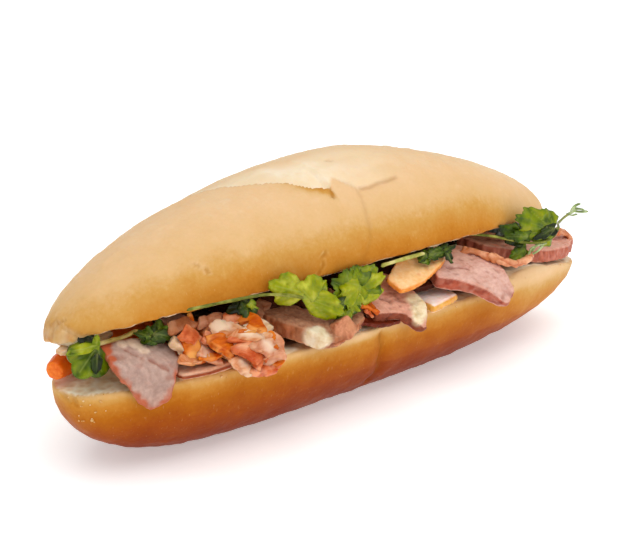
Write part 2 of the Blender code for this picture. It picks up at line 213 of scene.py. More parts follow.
def put_points(thing, points):
    thing.data.vertices.foreach_set("co", ((points + ROLL_AT) * MM).ravel())
    thing.data.update()


def mark(thing, name, values):
    """Keeps a number at each point of a piece for its material to read."""
    layer = thing.data.attributes.new(name, "FLOAT", "POINT")
    layer.data.foreach_set("value", np.clip(values, 0, 1).astype(np.float32))


def floor_height(x):
    """The lower cut face: it rises a little right of the middle and sinks at both tips."""
    rise = 3.4 * smooth_step(44, 64, x) * (1 - smooth_step(68, 92, x))
    return BASE_HEIGHT + rise - 4.5 * smooth_step(86, 114, x) - smooth_step(-98, -113, x)


def slit_back(x):
    """How deep the knife went: it leaves a hinge along the back and runs out at both tips."""
    share = np.clip((2 * x - BASE_LEFT - BASE_RIGHT) / (BASE_RIGHT - BASE_LEFT), -1, 1)
    edge = np.array([lower_half(s, 1)[1] for s in np.atleast_1d(share)])
    past = smooth_step(HINGE_LEFT, HINGE_LEFT - 8, x) + smooth_step(HINGE_RIGHT, HINGE_RIGHT + 8, x)
    return np.minimum(SLIT_BACK, edge - HINGE) + 30 * past


def whole_roll():
    """The outside of the opened roll, before the slit is cut out of it."""
    low_turns, high_turns = np.linspace(0, 1, 46), np.linspace(0.07, 1, 74)
    shares = -np.cos(math.pi * np.arange(1, ROUND_STEPS) / ROUND_STEPS)
    rings = [np.concatenate([lower_half(s, low_turns), upper_half(s, high_turns)]) for s in shares]
    count, lows = len(rings[0]), len(low_turns)
    faces = ring_faces(len(rings), count)
    points = list(np.concatenate(rings))
    for first, share in ((0, -1), ((len(rings) - 1) * count, 1)):
        tips = (len(points), len(points) + 1)
        points += [lower_half(share, np.array(0.5)), upper_half(share, np.array(0.5))]
        for i in range(count):
            j = (i + 1) % count
            a, b = tips[i >= lows], tips[j >= lows]
            faces.append((first + i, first + j, a) if a == b else (first + i, first + j, b, a))
    return points, faces


def slit_wedge():
    """The wedge of air between the two cut faces."""
    stations = np.linspace(-130, 130, 105)
    backs = slit_back(stations)
    rings = []
    for x, back in zip(stations, backs):
        low = floor_height(x) - 0.2
        roof = [BASE_HEIGHT + (PIVOT_Y - y) * math.tan(OPENING) for y in (back, -70)]
        rings += [(x, -70, low), (x, back, low), (x, back, max(low + 0.5, roof[0])),
                  (x, -70, roof[1] - LIP_SPARE)]
    last = len(rings) - 4
    return rings, ring_faces(len(stations), 4) + [(0, 1, 2, 3), (last, last + 1, last + 2, last + 3)]


def face_outwards(thing):
    """Merges doubled points and turns every face outwards."""
    shape = bmesh.new()
    shape.from_mesh(thing.data)
    bmesh.ops.remove_doubles(shape, verts=shape.verts, dist=0.00001)
    bmesh.ops.recalc_face_normals(shape, faces=shape.faces)
    shape.to_mesh(thing.data)
    shape.free()


def torn_tip():
    """The ragged end of the upper half, which tore a little and hangs below the cut."""
    bpy.ops.object.select_all(action="DESELECT")
    bpy.ops.mesh.primitive_uv_sphere_add(segments=32, ring_count=20, radius=1)
    tip = bpy.context.object
    points = np.array([tuple(v.co) for v in tip.data.vertices]) * TORN_SIZE + TORN_TIP
    put_points(tip, points)
    return tip


roll = mesh_object("scored_roll", *whole_roll())
face_outwards(roll)
outside = BVHTree.FromPolygons([tuple((v.co / MM) - Vector(ROLL_AT)) for v in roll.data.vertices],
                               [tuple(p.vertices) for p in roll.data.polygons])
knife = mesh_object("knife", *slit_wedge())
face_outwards(knife)
apply_modifier(roll, "BOOLEAN", operation="DIFFERENCE", solver="EXACT", object=knife)
bpy.data.objects.remove(knife)
tip = torn_tip()
select_only(roll)
tip.select_set(True)
bpy.ops.object.join()
apply_modifier(roll, "REMESH", mode="VOXEL", voxel_size=CRUST_VOXEL * MM)
apply_modifier(roll, "SMOOTH", factor=0.5, iterations=2)

at, out = mm_points(roll)
x, y, z = at.T
inside = np.array([outside.find_nearest(p)[3] for p in at.tolist()])      # depth under the crust
is_lid = z > BASE_HEIGHT + np.maximum(0, PIVOT_Y - y) * math.tan(OPENING / 2)
crumb = smooth_step(0.5 * CRUST_THICK, CRUST_THICK, inside + 0.35 * rough(at, 3, 5))
skin = 1 - smooth_step(0.2, 0.8, inside)
rise = np.where(is_lid, (z - BASE_HEIGHT) * math.cos(OPENING) + (y - PIVOT_Y) * math.sin(OPENING), 0)

# The ear is the raised edge of the score. Behind it the dough tore open, pale and rough.
ear_gap, ear_along = line_distance(at, EAR_LINE)
ear = np.array(EAR_LINE)[:, :2]
step = np.interp(x, ear[:, 0], ear[:, 1], left=60, right=-15)
behind = np.where(y > step, 1, -1) * ear_gap
jag = 0.7 * lumps(at, 2.6, 11) + 0.45 * lumps(at, 1.2, 12)
behind = behind + 0.5 * jag * smooth_step(0.15, 0.9, ear_along)
reach = smooth_step(0.02, 0.3, ear_along) * (x < ear[-1, 0] + 0.6) * is_lid
reach = reach * smooth_step(26, 10, np.abs(ear_gap)) * skin
drop = smooth_step(-0.5, 0.5, behind) * np.exp(-np.maximum(behind, 0) / 12)
lip_up = np.exp(-np.maximum(-behind, 0) / 2.5) * (behind < 0.3)
seam_y = np.interp(x, (-12, -8, -2.3, 8, 18, 26), (-15, -11.6, -17.6, -17.8, -17.2, -12))
tear_width = np.interp(x, (-67, -58, -46, -32, 0, 26), (0.5, 5, 12, 20, 24, 14))
tear_run = smooth_step(-66, -60, x) * (1 - smooth_step(10, 26, x))
tear_run = tear_run * smooth_step(tear_width, 0.6 * tear_width, y - step + 2 * lumps(at, 6, 13))
past_ear = smooth_step(-1, 0.6, y - seam_y) * (x >= ear[-1, 0])
grigne = np.where(x < ear[-1, 0], smooth_step(-0.2, 0.6, behind), past_ear) * tear_run * is_lid * skin
grigne = grigne * (1 - 0.55 * smooth_step(-12, 4, x))
push = reach * (0.35 * lip_up - 2 * drop)
push += grigne * (0.16 * rough(at, 5.5, 21) + 0.05 * rough(at, 2, 24))

# Creases: a wide, shallow valley with a thin line in it, and painted shade along the line. Each has its line,
# the valley's width and depth, the thin line's depth, and how dark its painted shade is.
CREASES = ((UPPER_CREASE, 5.5, 0.28, 0.16, 0.4), (LOWER_CREASE, 2.6, 1, 0.7, 1),
           (NOTCH, 1.6, 0.5, 0.4, 1), (FLAP_LINE, 2.4, 0.35, 0.25, 0.8), (TOP_SPLIT, 1, 0.2, 0.3, 1))
marks = np.zeros(len(at))
for line, wide, deep, fine, dark in CREASES:
    gap, along = line_distance(at, line)
    gap = np.abs(gap + 0.5 * lumps(at, 4, 31) * np.minimum(gap, 1.2))
    ends = smooth_step(0, 0.12, along) * (1 - smooth_step(0.9, 1, along)) * skin
    push -= ends * (deep * np.exp(-(gap / wide) ** 2) + fine * np.exp(-(gap / 0.8) ** 2))
    marks = np.maximum(marks, dark * ends * np.exp(-(gap / 0.75) ** 2))
flake = np.zeros(len(at))
# Cracks: grooves with a line of painted shade in them, and flakes beside them.
for line in LOWER_CRACKS + LID_CRACKS + TIP_CRACKS:
    gap = line_distance(at, line)[0] + 0.5 * lumps(at, 1.8, 33)
    push -= 0.4 * np.exp(-(gap / 0.7) ** 2) * skin
    marks = np.maximum(marks, 0.8 * np.exp(-(gap / 0.6) ** 2) * skin)
    beside = smooth_step(1.3, 0.8, gap) * smooth_step(0.4, 0.8, gap)
    flake = np.maximum(flake, beside * skin * (0.5 + 0.5 * lumps(at, 1.6, 34)))

# The left tip of the upper half is torn, and small blisters and flakes roughen the crust.
from_torn = np.linalg.norm((at - TORN_TIP) / TORN_SIZE * (0.8, 0.8, 0.68), axis=1) + 0.2 * lumps(at, 3, 40)
torn = smooth_step(1.25, 0.85, from_torn) * is_lid
push += torn * 0.45 * rough(at, 2.6, 41) - 0.5 * torn * skin
torn_edge = np.exp(-((from_torn - 1.08) / 0.09) ** 2) * is_lid * skin
# A dark line of painted shade runs round the torn patch.
marks = np.maximum(marks, 0.85 * torn_edge * smooth_step(-0.5, 0.3, lumps(at, 2.2, 42)))
tip_flakes = smooth_step(10, 4, np.linalg.norm(at - (-111, -19, 24), axis=1)) * ~is_lid
push += tip_flakes * 0.35 * np.maximum(0, rough(at, 2.2, 43))
push += skin * (0.30 * lumps(at, 22, 51, (2, 1, 1)) + 0.10 * lumps(at, 7, 52) + 0.035 * rough(at, 2.4, 53))
blister = np.maximum(0, lumps(at, 2.4, 55) - 0.55) / 0.45
push += skin * 0.16 * blister

# The cut faces are open crumb, and the lips are a little ragged.
pores = np.maximum(0, lumps(at, 2.6, 61) - 0.1) + 0.6 * np.maximum(0, lumps(at, 1.4, 62) - 0.2)
push += crumb * (0.5 * rough(at, 5, 63) - 0.6 * pores)
lips = np.exp(-((inside - 0.5) / 0.9) ** 2) * (np.abs(out[:, 2]) < 0.98)
at = at + out * push[:, None]
at[:, 2] += lips * 0.45 * rough(at, 3.2, 71) * np.where(is_lid, 1, -1) * (y < 20)
at[:, 2] = np.maximum(at[:, 2], 0)
put_points(roll, at)
shade_smooth(roll)

# Painted shade: the lower cut face darkens to the brown of soaked crumb away from its front lip, deep between
# the fillings where they shade it.
shares = np.linspace(-1, 1, 121)
lip_line = np.array([lower_half(share, 0) for share in shares])
front_lip = np.interp(x, lip_line[:, 0], lip_line[:, 1])
soaked = smooth_step(3, 7.5, y - front_lip + 1.6 * lumps(at, 4, 91)) * (z < 36) * crumb
soaked = soaked * smooth_step(-96, -82, x)

# How brown each place is, from 0 at its palest to 1 under the roll, with a painted shadow under the ear and a
# painted highlight on the lower rim mixed in.
dome = rise / LID_HEIGHT + 0.03 * lumps(at, 24, 80, (2.5, 1, 1))
bake_lid = np.interp(dome, (0, 0.1, 0.2, 0.3, 0.45, 0.6, 0.8, 1),
                     (0.66, 0.59, 0.50, 0.40, 0.28, 0.19, 0.12, 0.07))
bake_lid -= 0.27 * smooth_step(42, 84, x) + 0.10 * smooth_step(-60, -105, x)
# Under the ear's lip on its right half the crust darkens: partly the browner edge of the ear, partly painted
# shadow under the lip.
under_lip = np.exp(-(np.maximum(-behind - 0.8, 0) / 2.2) ** 2) * (behind < 0.2)
under_lip = under_lip * smooth_step(0.62, 0.92, ear_along)
bake_lid += reach * (0.30 * under_lip + 0.08 * np.exp(-np.maximum(-behind, 0) / 4) * (behind < 0.3))
bake_low = np.interp(z, (3, 8, 13, 18, 22, 26, 28.5, 31), (1, 1, 0.93, 0.84, 0.76, 0.62, 0.44, 0.36))
bake_low -= 0.15 * smooth_step(36, 84, x) * smooth_step(2, 16, z) + 0.06 * smooth_step(-80, 10, x) * (z > 15)
# A painted highlight: the lower rim is paler just left of the lower crease.
pale_patch = 0.16 * smooth_step(25.5, 28.5, z) * np.exp(-((x + 17) / 8) ** 2)
bake_low -= 0.04 * smooth_step(-88, -112, x) + pale_patch
bake = np.where(is_lid, bake_lid, bake_low)
seam = smooth_step(20, 30, y) * smooth_step(9, 0, np.abs(z - BASE_HEIGHT - 2))
bake = bake * (1 - seam) + seam * 0.45
from_golden = np.linalg.norm((at - (14, -14.5, 75)) * (0.8, 1.4, 1), axis=1) + lumps(at, 3, 83)
golden = smooth_step(7, 3, from_golden)
mottles = 0.03 * lumps(at, 16, 81, (2.2, 1, 1)) + 0.02 * rough(at, 3.5, 82)
bake += mottles - 0.06 * blister + 0.12 * golden * is_lid
bake = bake * (1 - 0.8 * torn) + 0.8 * torn * (0.54 + 0.2 * lumps(at, 2.4, 84))
bake -= np.where(is_lid, 0.16, -0.12) * flake
mark(roll, "bake", bake)
mark(roll, "crumb", np.maximum(crumb, torn * (0.3 + 0.25 * lumps(at, 2, 85))))
mark(roll, "tear", grigne)
mark(roll, "crease", marks)
# The crumb's painted shade; the torn tip also takes a little of this brown as its own colour.
mark(roll, "soaked", np.maximum(soaked, 0.34 * torn))


def tint(code):
    """An sRGB hex colour turned to linear."""
    parts = [int(code[i:i + 2], 16) / 255 for i in (1, 3, 5)]
    return tuple(c / 12.92 if c <= 0.04045 else ((c + 0.055) / 1.055) ** 2.4 for c in parts) + (1,)


def add_node(material, kind, sockets=None, stops=(), **settings):
    """Adds a shader node and returns its main output. Each socket, by its name or number, is set
    to a value or hex colour or linked to an output; stops are a ramp's places and colours."""
    node = material.node_tree.nodes.new("ShaderNode" + kind)
    for key, value in settings.items():
        setattr(node, key, value)
    for _ in stops[2:]:
        node.color_ramp.elements.new(1)
    for i, (place, colour) in enumerate(stops):
        node.color_ramp.elements[i].position = place
        node.color_ramp.elements[i].color = tint(colour)
    for key, value in (sockets or {}).items():
        named = [s for s in node.inputs if s.enabled and s.name == key]
        socket = named[0] if named else node.inputs[key]
        if isinstance(value, bpy.types.NodeSocket):
            material.node_tree.links.new(value, socket)
        else:
            socket.default_value = tint(value) if isinstance(value, str) else value
    main = {"TexCoord": "Object", "Attribute": "Fac"}.get(kind)
    return node.outputs[main] if main else next((s for s in node.outputs if s.enabled), None)


def new_material(name):
    """An empty material, ready for its nodes."""
    material = bpy.data.materials.new(name)
    material.use_nodes = True
    material.node_tree.nodes.clear()
    return material


def finish_material(material, shader):
    add_node(material, "OutputMaterial", {"Surface": shader})
    return material


def dress(piece, material, slot, *nodes):
    """Gives a finished piece its material and its place in the sandwich."""
    piece.data.materials.clear()
    piece.data.materials.append(material)
    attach(piece, "root")
    if nodes:
        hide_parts(*nodes)


# Baked wheat crust: starch that browned in a steamed oven, so it is satin and not matt.
# Mottles are about 12 mm across, specks 1 mm, and the cells of the open crumb 2 to 3 mm.
MOSTLY = {"From Min": 0.3, "From Max": 0.7}         # where most of a noise's values lie
crust = new_material("baked_wheat_crust")
where = add_node(crust, "TexCoord")
baked, crumbs, torn_dough, crease, juice = (add_node(crust, "Attribute", attribute_name=word)
                                            for word in ("bake", "crumb", "tear", "crease", "soaked"))
mottle = add_node(crust, "TexNoise", {"Scale": 85, "Detail": 4, "Roughness": 0.6, "Vector": where})
speck = add_node(crust, "TexNoise", {"Scale": 900, "Detail": 3, "Roughness": 0.6, "Vector": where})
grain = add_node(crust, "Mapping", {"Scale": (1500, 1500, 420), "Vector": where})
fleck = add_node(crust, "TexNoise", {"Scale": 1, "Detail": 2, "Vector": grain})
browner = add_node(crust, "MapRange", MOSTLY | {"To Min": -0.035, "To Max": 0.035, "Value": mottle})
finer = add_node(crust, "MapRange", MOSTLY | {"To Min": -0.02, "To Max": 0.02, "Value": speck})
both = add_node(crust, "Math", {0: browner, 1: finer})
shade = add_node(crust, "Math", {0: baked, 1: both})
gold = add_node(crust, "ValToRGB", {"Fac": shade}, (
    (0, "#f0d4ac"), (0.18, "#eac292"), (0.36, "#dfb47a"), (0.48, "#d09b4e"),
    (0.60, "#c5812a"), (0.72, "#b26404"), (0.85, "#9c4800"), (1, "#802e00")))
pale_fleck = add_node(crust, "MapRange", {"From Min": 0.66, "From Max": 0.74, "To Max": 0.12, "Value": fleck})
flecked = add_node(crust, "Mix", {"Factor": pale_fleck, "A": gold, "B": "#f0cf94"}, data_type="RGBA")
dough = add_node(crust, "ValToRGB", {"Fac": mottle}, ((0.36, "#f2d8b0"), (0.5, "#f5deba"), (0.64, "#f8e6ca")))
opened = add_node(crust, "Mix", {"Factor": torn_dough, "A": flecked, "B": dough}, data_type="RGBA")
# Painted shade darkens the creases, the cracks and the torn edge.
crease_share = add_node(crust, "Math", {0: crease, 1: 0.5}, operation="MULTIPLY")
creased = add_node(crust, "Mix", {"Factor": crease_share, "A": opened, "B": "#9c5c14"}, data_type="RGBA")
cells = add_node(crust, "TexVoronoi", {"Scale": 420, "Vector": where})
soft_crumb = add_node(crust, "ValToRGB", {"Fac": cells}, ((0.05, "#e6c69a"), (0.4, "#f6e0ba"),
                                                          (0.8, "#fff2d6")))
# Painted shade: the deep crumb between the fillings turns dark brown.
juice_share = add_node(crust, "Math", {0: juice, 1: 0.8}, operation="MULTIPLY")
wet_crumb = add_node(crust, "Mix", {"Factor": juice_share, "A": soft_crumb, "B": "#6a3c22"}, data_type="RGBA")
bread_colour = add_node(crust, "Mix", {"Factor": crumbs, "A": creased, "B": wet_crumb}, data_type="RGBA")
dull = add_node(crust, "MapRange", {"To Min": 0.40, "To Max": 0.92, "Value": crumbs})
rougher = add_node(crust, "MapRange", MOSTLY | {"To Max": 0.14, "Value": mottle})
crust_rough = add_node(crust, "Math", {0: dull, 1: rougher})
fine_bump = add_node(crust, "Bump", {"Strength": 0.35, "Distance": 0.0003, "Height": speck})
wide_bump = add_node(crust, "Bump", {"Strength": 0.25, "Distance": 0.0008, "Height": mottle,
                                     "Normal": fine_bump})
finish_material(crust, add_node(crust, "BsdfPrincipled", {
    "Subsurface Weight": 0.12, "Subsurface Radius": (0.9, 0.45, 0.2), "Subsurface Scale": 0.002,
    "Specular IOR Level": 0.1, "IOR": 1.45, "Base Color": bread_colour, "Roughness": crust_rough,
    "Normal": wide_bump}))
dress(roll, crust, "crust", "loaf")

# ---------------------------------------------------------------- the pork
# Cold roast pork cut by hand into slabs and thin slices: grey-pink lean with long
# fibres, pads of cream fat, and a red-brown rim where the glaze cooked on.

MEAT_VOXEL = 0.42
CREAM_FAT = ("#dabe90", "#ecdcbe")


def soft_copy(name, node, voxel, smoothing=2):
    """A fine copy of a solid, its hard edges rounded, ready to be carved."""
    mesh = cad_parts[node].data.copy()
    thing = bpy.data.objects.new(name, mesh)
    bpy.context.scene.collection.objects.link(thing)
    shape = bmesh.new()
    shape.from_mesh(mesh)
    bmesh.ops.remove_doubles(shape, verts=shape.verts, dist=0.00001)
    shape.to_mesh(mesh)
    shape.free()
    apply_modifier(thing, "REMESH", mode="VOXEL", voxel_size=voxel * MM)
    apply_modifier(thing, "SMOOTH", factor=0.5, iterations=smoothing)
    return thing


def flat_axis(points):
    """The direction in which a slab is thinnest, turned upwards."""
    axis = np.linalg.eigh(np.cov((points - points.mean(axis=0)).T))[1][:, 0]
    return axis * (1 if axis[2] >= 0 else -1)


def from_sides(points, side):
    """How far each point is from the cut sides of its slab."""
    tree = KDTree(int(side.sum()))
    for i, point in enumerate(points[side]):
        tree.insert(point, i)
    tree.balance()
    return np.array([tree.find(p)[2] for p in points])


def near_spots(points, spots):
    """1 at the middle of any of the round spots (x, y, z, radius), fading to 0 at its edge."""
    total = np.zeros(len(points))
    for *middle, radius in spots:
        gap = np.linalg.norm(points - np.array(middle), axis=1) / radius
        total = np.maximum(total, smooth_step(1.25, 0.65, gap + 0.10 * lumps(points, 1.5 + radius * 0.6, 3)))
    return total


def carve(thing, seed, grain=(1, 1, 1), wave=0.35, ridges=0.10, pits=0.3, ragged=0.5,
          fat=(), glaze=(), rim=1, axis=None, cuts=(), move=(0, 0, 0), fatness=1, low_rim=False):
    """Waves, fibres, pits, tears and ragged sides, and marks for where the fat and glazed rim are and for the
    painted shade in the pits and cuts.
    """
    at, out = mm_points(thing)
    axis = flat_axis(at) if axis is None else np.array(axis, float)
    face = np.abs(out @ axis)
    side = smooth_step(0.80, 0.45, face)
    edge = from_sides(at, face < 0.6)
    fatty = near_spots(at, fat) * fatness
    hollow = np.maximum(0, lumps(at, 2.3, seed + 1) - 0.42) / 0.58
    push = wave * rough(at, 6.5, seed) + ridges * lumps(at, 0.95, seed + 2, grain) * (1 - fatty)
    push += 0.5 * ridges * rough(at, 0.8, seed + 3) - pits * hollow * (1 - fatty)
    push += ragged * side * rough(at, 2.4, seed + 4, (1, 1, 1.6)) * (1 - 0.9 * fatty)
    push = push * (1 - 0.85 * fatty) + 0.1 * fatty
    for line in cuts:
        gap = line_distance(at, line)[0] + 0.5 * lumps(at, 1.6, seed + 8)
        hollow = np.maximum(hollow, 1.4 * np.exp(-(gap / 0.6) ** 2))
        push -= 0.7 * np.exp(-(gap / 0.7) ** 2)
    put_points(thing, at + out * push[:, None] + move)
    streak = lumps(at, 1.1, seed + 5, grain) + 0.6 * lumps(at, 0.55, seed + 6, grain)
    uneven = edge + 0.8 * lumps(at, 2.4, seed + 7) + 0.3 * lumps(at, 0.9, seed + 9)
    glazed = rim * smooth_step(1.7, 0.2, uneven)
    glazed *= (1 - 0.35 * side) * (0.35 + 0.65 * smooth_step(-0.45, 0.25, lumps(at, 1.7, seed + 10)))
    # Only the lower side keeps the side colour: partly the slice's red edge, partly painted shadow beneath
    # it.
    if low_rim:
        side = side * smooth_step(0.7, 0.2, (at - at.mean(axis=0)) @ axis)
    mark(thing, "side", side)
    mark(thing, "rim", np.maximum(glazed, near_spots(at, glaze)))
    mark(thing, "fat", fatty)
    mark(thing, "streak", 0.5 + (0.2 + 0.12 * side) * streak)
    mark(thing, "hollow", hollow)
    shade_smooth(thing)
    return thing


def moist_food(name, face, side, rim, fat=CREAM_FAT, gloss=0.36, coat=0.06, glow=0.18):
    """Moist cut food: its face, its cut side and its fat each have a darker and a lighter colour.
    Clouds of colour are 5 mm across and specks 1 mm, a little coarser than real fibres, to show."""
    material = new_material(name)
    place = add_node(material, "TexCoord")
    at_side, at_rim, in_fat, streak, hollow = (
        add_node(material, "Attribute", attribute_name=word)
        for word in ("side", "rim", "fat", "streak", "hollow"))
    cloud = add_node(material, "TexNoise", {"Scale": 190, "Detail": 4, "Roughness": 0.62, "Vector": place})
    speck = add_node(material, "TexNoise", {"Scale": 1100, "Detail": 3, "Roughness": 0.6, "Vector": place})
    shade = add_node(material, "Mix", {"Factor": 0.55, "A": cloud, "B": streak})
    finer = add_node(material, "MapRange", MOSTLY | {"To Min": -0.08, "To Max": 0.08, "Value": speck})
    tone = add_node(material, "Math", {0: shade, 1: finer})
    on_face, on_side, on_fat = (
        add_node(material, "ValToRGB", {"Fac": tone}, ((low, dark), (high, light)))
        for low, high, (dark, light) in ((0.25, 0.72, face), (0.25, 0.72, side), (0.3, 0.62, fat)))
    # On strips the side mark is painted shade in their creases.
    lean = add_node(material, "Mix", {"Factor": at_side, "A": on_face, "B": on_side}, data_type="RGBA")
    glazed = add_node(material, "Mix", {"Factor": at_rim, "A": lean, "B": rim}, data_type="RGBA")
    marbled = add_node(material, "Mix", {"Factor": in_fat, "A": glazed, "B": on_fat}, data_type="RGBA")
    # Painted shade: pits and cut lines darken towards the darker side colour.
    pitted = add_node(material, "Math", {0: hollow, 1: 0.55}, operation="MULTIPLY")
    final = add_node(material, "Mix", {"Factor": pitted, "A": marbled, "B": side[0]}, data_type="RGBA")
    wet = add_node(material, "MapRange", {"From Min": 0.35, "From Max": 0.65, "To Min": gloss - 0.10,
                                          "To Max": gloss + 0.16, "Value": cloud})
    bump = add_node(material, "Bump", {"Strength": 0.4, "Distance": 0.00025, "Height": tone})
    return finish_material(material, add_node(material, "BsdfPrincipled", {
        "Subsurface Weight": glow, "Subsurface Radius": (1, 0.42, 0.25), "Subsurface Scale": 0.0018,
        "Specular IOR Level": 0.13, "IOR": 1.42, "Coat Weight": coat, "Coat Roughness": 0.22,
        "Base Color": final, "Roughness": wet, "Normal": bump}))


# Cooked lean is grey-pink where it was cut and redder near its edges; the fat is a cooked cream.
grey_pork = moist_food("sliced_roast_pork", ("#9c7c70", "#cbaa9b"), ("#984e34", "#c88464"), "#bc5c38",
                       ("#dcb698", "#f2d8c0"))
# Its dark side colour shows only along the slice's lower side: partly its red edge, partly painted shadow
# beneath it.
thin_pork = moist_food("thin_sliced_pork", ("#d89870", "#f4d6ba"), ("#641a02", "#94401a"), "#cc6c3c")
pink_pork = moist_food("pink_roast_pork", ("#c48674", "#eec6b6"), ("#7c1c06", "#b44a2c"), "#e0a48a")
pitted_pork = moist_food("pitted_roast_pork", ("#b87058", "#f0b89e"), ("#541808", "#944426"), "#c47c60",
                         ("#dcbc86", "#f4e4c2"))
# Its rim colour is light: partly glazed rim, partly painted light on the slab's shaded left side.
end_pork = moist_food("fibrous_roast_pork", ("#c88068", "#ecbca8"), ("#8c361e", "#c87258"), "#f0a088")
roast_pork = moist_food("roast_pork_shoulder", ("#804830", "#c89270"), ("#642408", "#b46438"), "#cc9068")
# Near-black pork for the meat deep in the slit: painted shade.
dark_pork = moist_food("braised_pork", ("#300e04", "#643420"), ("#240a02", "#4e2010"), "#441406")
torn_pork = moist_food("pulled_roast_pork", ("#a05434", "#e4a078"), ("#5c1e08", "#a85a34"), "#d8966c")
# Near-black red pork for the cavity between the chunk and the centre slab: painted shade.
red_pork = moist_food("juicy_pork_edge", ("#4c1204", "#7a2c12"), ("#3c0c02", "#6c220a"), "#581a06")
salted_pork = moist_food("salted_pork_strip", ("#904824", "#c07c50"), ("#a86440", "#d8a07a"), "#e4b08c")
glazed_rind = moist_food("glazed_rind", ("#c46a3a", "#f6b88c"), ("#a4461a", "#de8050"), "#d0804c",
                         ("#d08844", "#eab070"), gloss=0.24, coat=0.3, glow=0.12)

# Piece, node, slot, material, seed and how it was carved.
PORK = (
    ("left_pork_slice", "pork_slice_left", "pork_pale", grey_pork, 101,
     dict(grain=(1, 2.5, 1), pits=0.3, ragged=0.7, wave=0.5,
          fat=((-92, -18.9, 41.2, 2.8), (-88, -20.5, 40.4, 2.4), (-96, -18, 41.4, 1.8),
               (-91.2, -22, 39.6, 2)),
          glaze=((-102.4, -19, 41.6, 2.4), (-100.6, -16.6, 42.2, 2.2), (-102, -22, 39.6, 1.6)), fatness=0.85,
          cuts=(((-91.7, -25.9, 37.7), (-90.2, -28.1, 36.4), (-88.2, -29.8, 34.8)),
                ((-96.5, -20.5, 40.6), (-94.6, -23.4, 39.2))))),
    ("thin_pork_slice", "pork_slice_thin", "pork_pale", thin_pork, 111,
     dict(grain=(2.5, 1, 1), ragged=0.3, wave=0.3, pits=0.2, rim=0.3, low_rim=True, move=(0, 0, 0.5))),
    ("centre_pork_slab", "pork_slab_centre", "pork", roast_pork, 121,
     dict(grain=(1, 1, 4), ridges=0.24, ragged=0.55, rim=0.5, pits=0.4,
          fat=((-39.6, -40.4, 34.8, 4.6), (-37.4, -38.6, 36.8, 2.4)),
          cuts=(((-27, -37.8, 36.6), (-26.6, -39.4, 34.2), (-26.4, -40, 31.6)),
                ((-22.6, -35.6, 37.2), (-22.2, -37.4, 34.6))))),
    ("pitted_pork_chunk", "pork_chunk", "pork", pitted_pork, 131,
     dict(grain=(2, 1, 1), pits=0.9, ragged=0.6, rim=0.2,
          fat=((9, -36.6, 35.4, 4.4), (6.2, -39.4, 33, 3.6), (4, -41, 31.4, 2.4)),
          cuts=(((-3.6, -31.5, 38), (-1.2, -33.4, 37.4)), ((1.6, -33.6, 37.4), (3.6, -35.2, 36.6))))),
    ("right_pork_slab", "pork_slab_right", "pork_pale", pink_pork, 141,
     dict(grain=(3, 1, 1), ragged=0.55, wave=0.45, rim=0.45,
          cuts=(((28, -31.5, 41.8), (32.5, -32, 41), (36, -33.6, 40)),
                ((42.5, -36.4, 37.4), (43.6, -38.6, 36.2))))),
    ("end_pork_slab", "pork_slab_end", "pork", end_pork, 151,
     dict(grain=(1, 1, 3.5), ridges=0.24, ragged=0.9, rim=0.35,
          # The two glaze spots take the light rim colour: painted light on the slab's shaded left side.
          glaze=((69, -25, 39.6, 2.2), (62, -23.4, 41, 2)),
          cuts=(((66, -24.2, 40.6), (69.6, -24.4, 39.8)),))),
    # The inner pieces fill the slit's dark depths with painted shade.
    ("inner_pork_left", "pork_inner_left", "pork", dark_pork, 161, dict(grain=(3, 1, 1), ragged=0.6)),
    ("inner_pork_middle", "pork_inner_centre", "pork", dark_pork, 171, dict(grain=(3, 1, 1), ragged=0.6)),
    ("inner_pork_end", "pork_inner_right", "pork", dark_pork, 181, dict(grain=(3, 1, 1), ragged=0.6)),
    ("small_pork_bit", "ham_bit_left", "pork", pink_pork, 191, dict(ragged=0.35, rim=0.6)),
    ("glazed_rind_end", "browned_end", "browned_pork", glazed_rind, 211,
     dict(move=(-3, -2, 0.6), grain=(1, 2, 1), ragged=0.35, wave=0.35, rim=0.5, pits=0.2)),
)
for piece, node, slot, material, seed, cutting in PORK:
    dress(carve(soft_copy(piece, node, MEAT_VOXEL), seed, **cutting), material, slot, node)

# ---------------------------------------------------------------- the pickles
# Carrot and daikon cut into batons, wedges and ribbons and pickled in vinegar, so they
# are wet and a little see-through. They lie loose, some of them in a small heap.

CUT_SLANT = 0.4             # how much a strip's cut ends lean
CURVE_STEP = 0.45           # between the rings of a strip


def smooth_curve(points):
    """Evenly stepped points on a smooth curve through the given ones."""
    points = np.array(points, float)
    padded = np.concatenate([[2 * points[0] - points[1]], points, [2 * points[-1] - points[-2]]])
    curve = []
    for a, b, c, d in zip(padded, padded[1:], padded[2:], padded[3:]):
        steps = max(2, int(np.linalg.norm(c - b) / CURVE_STEP))
        t = np.arange(steps)[:, None] / steps
        curve.append(0.5 * (2 * b + (c - a) * t + (2 * a - 5 * b + 4 * c - d) * t * t
                            + (3 * b - a - 3 * c + d) * t ** 3))
    return np.concatenate(curve + [points[-1:]])


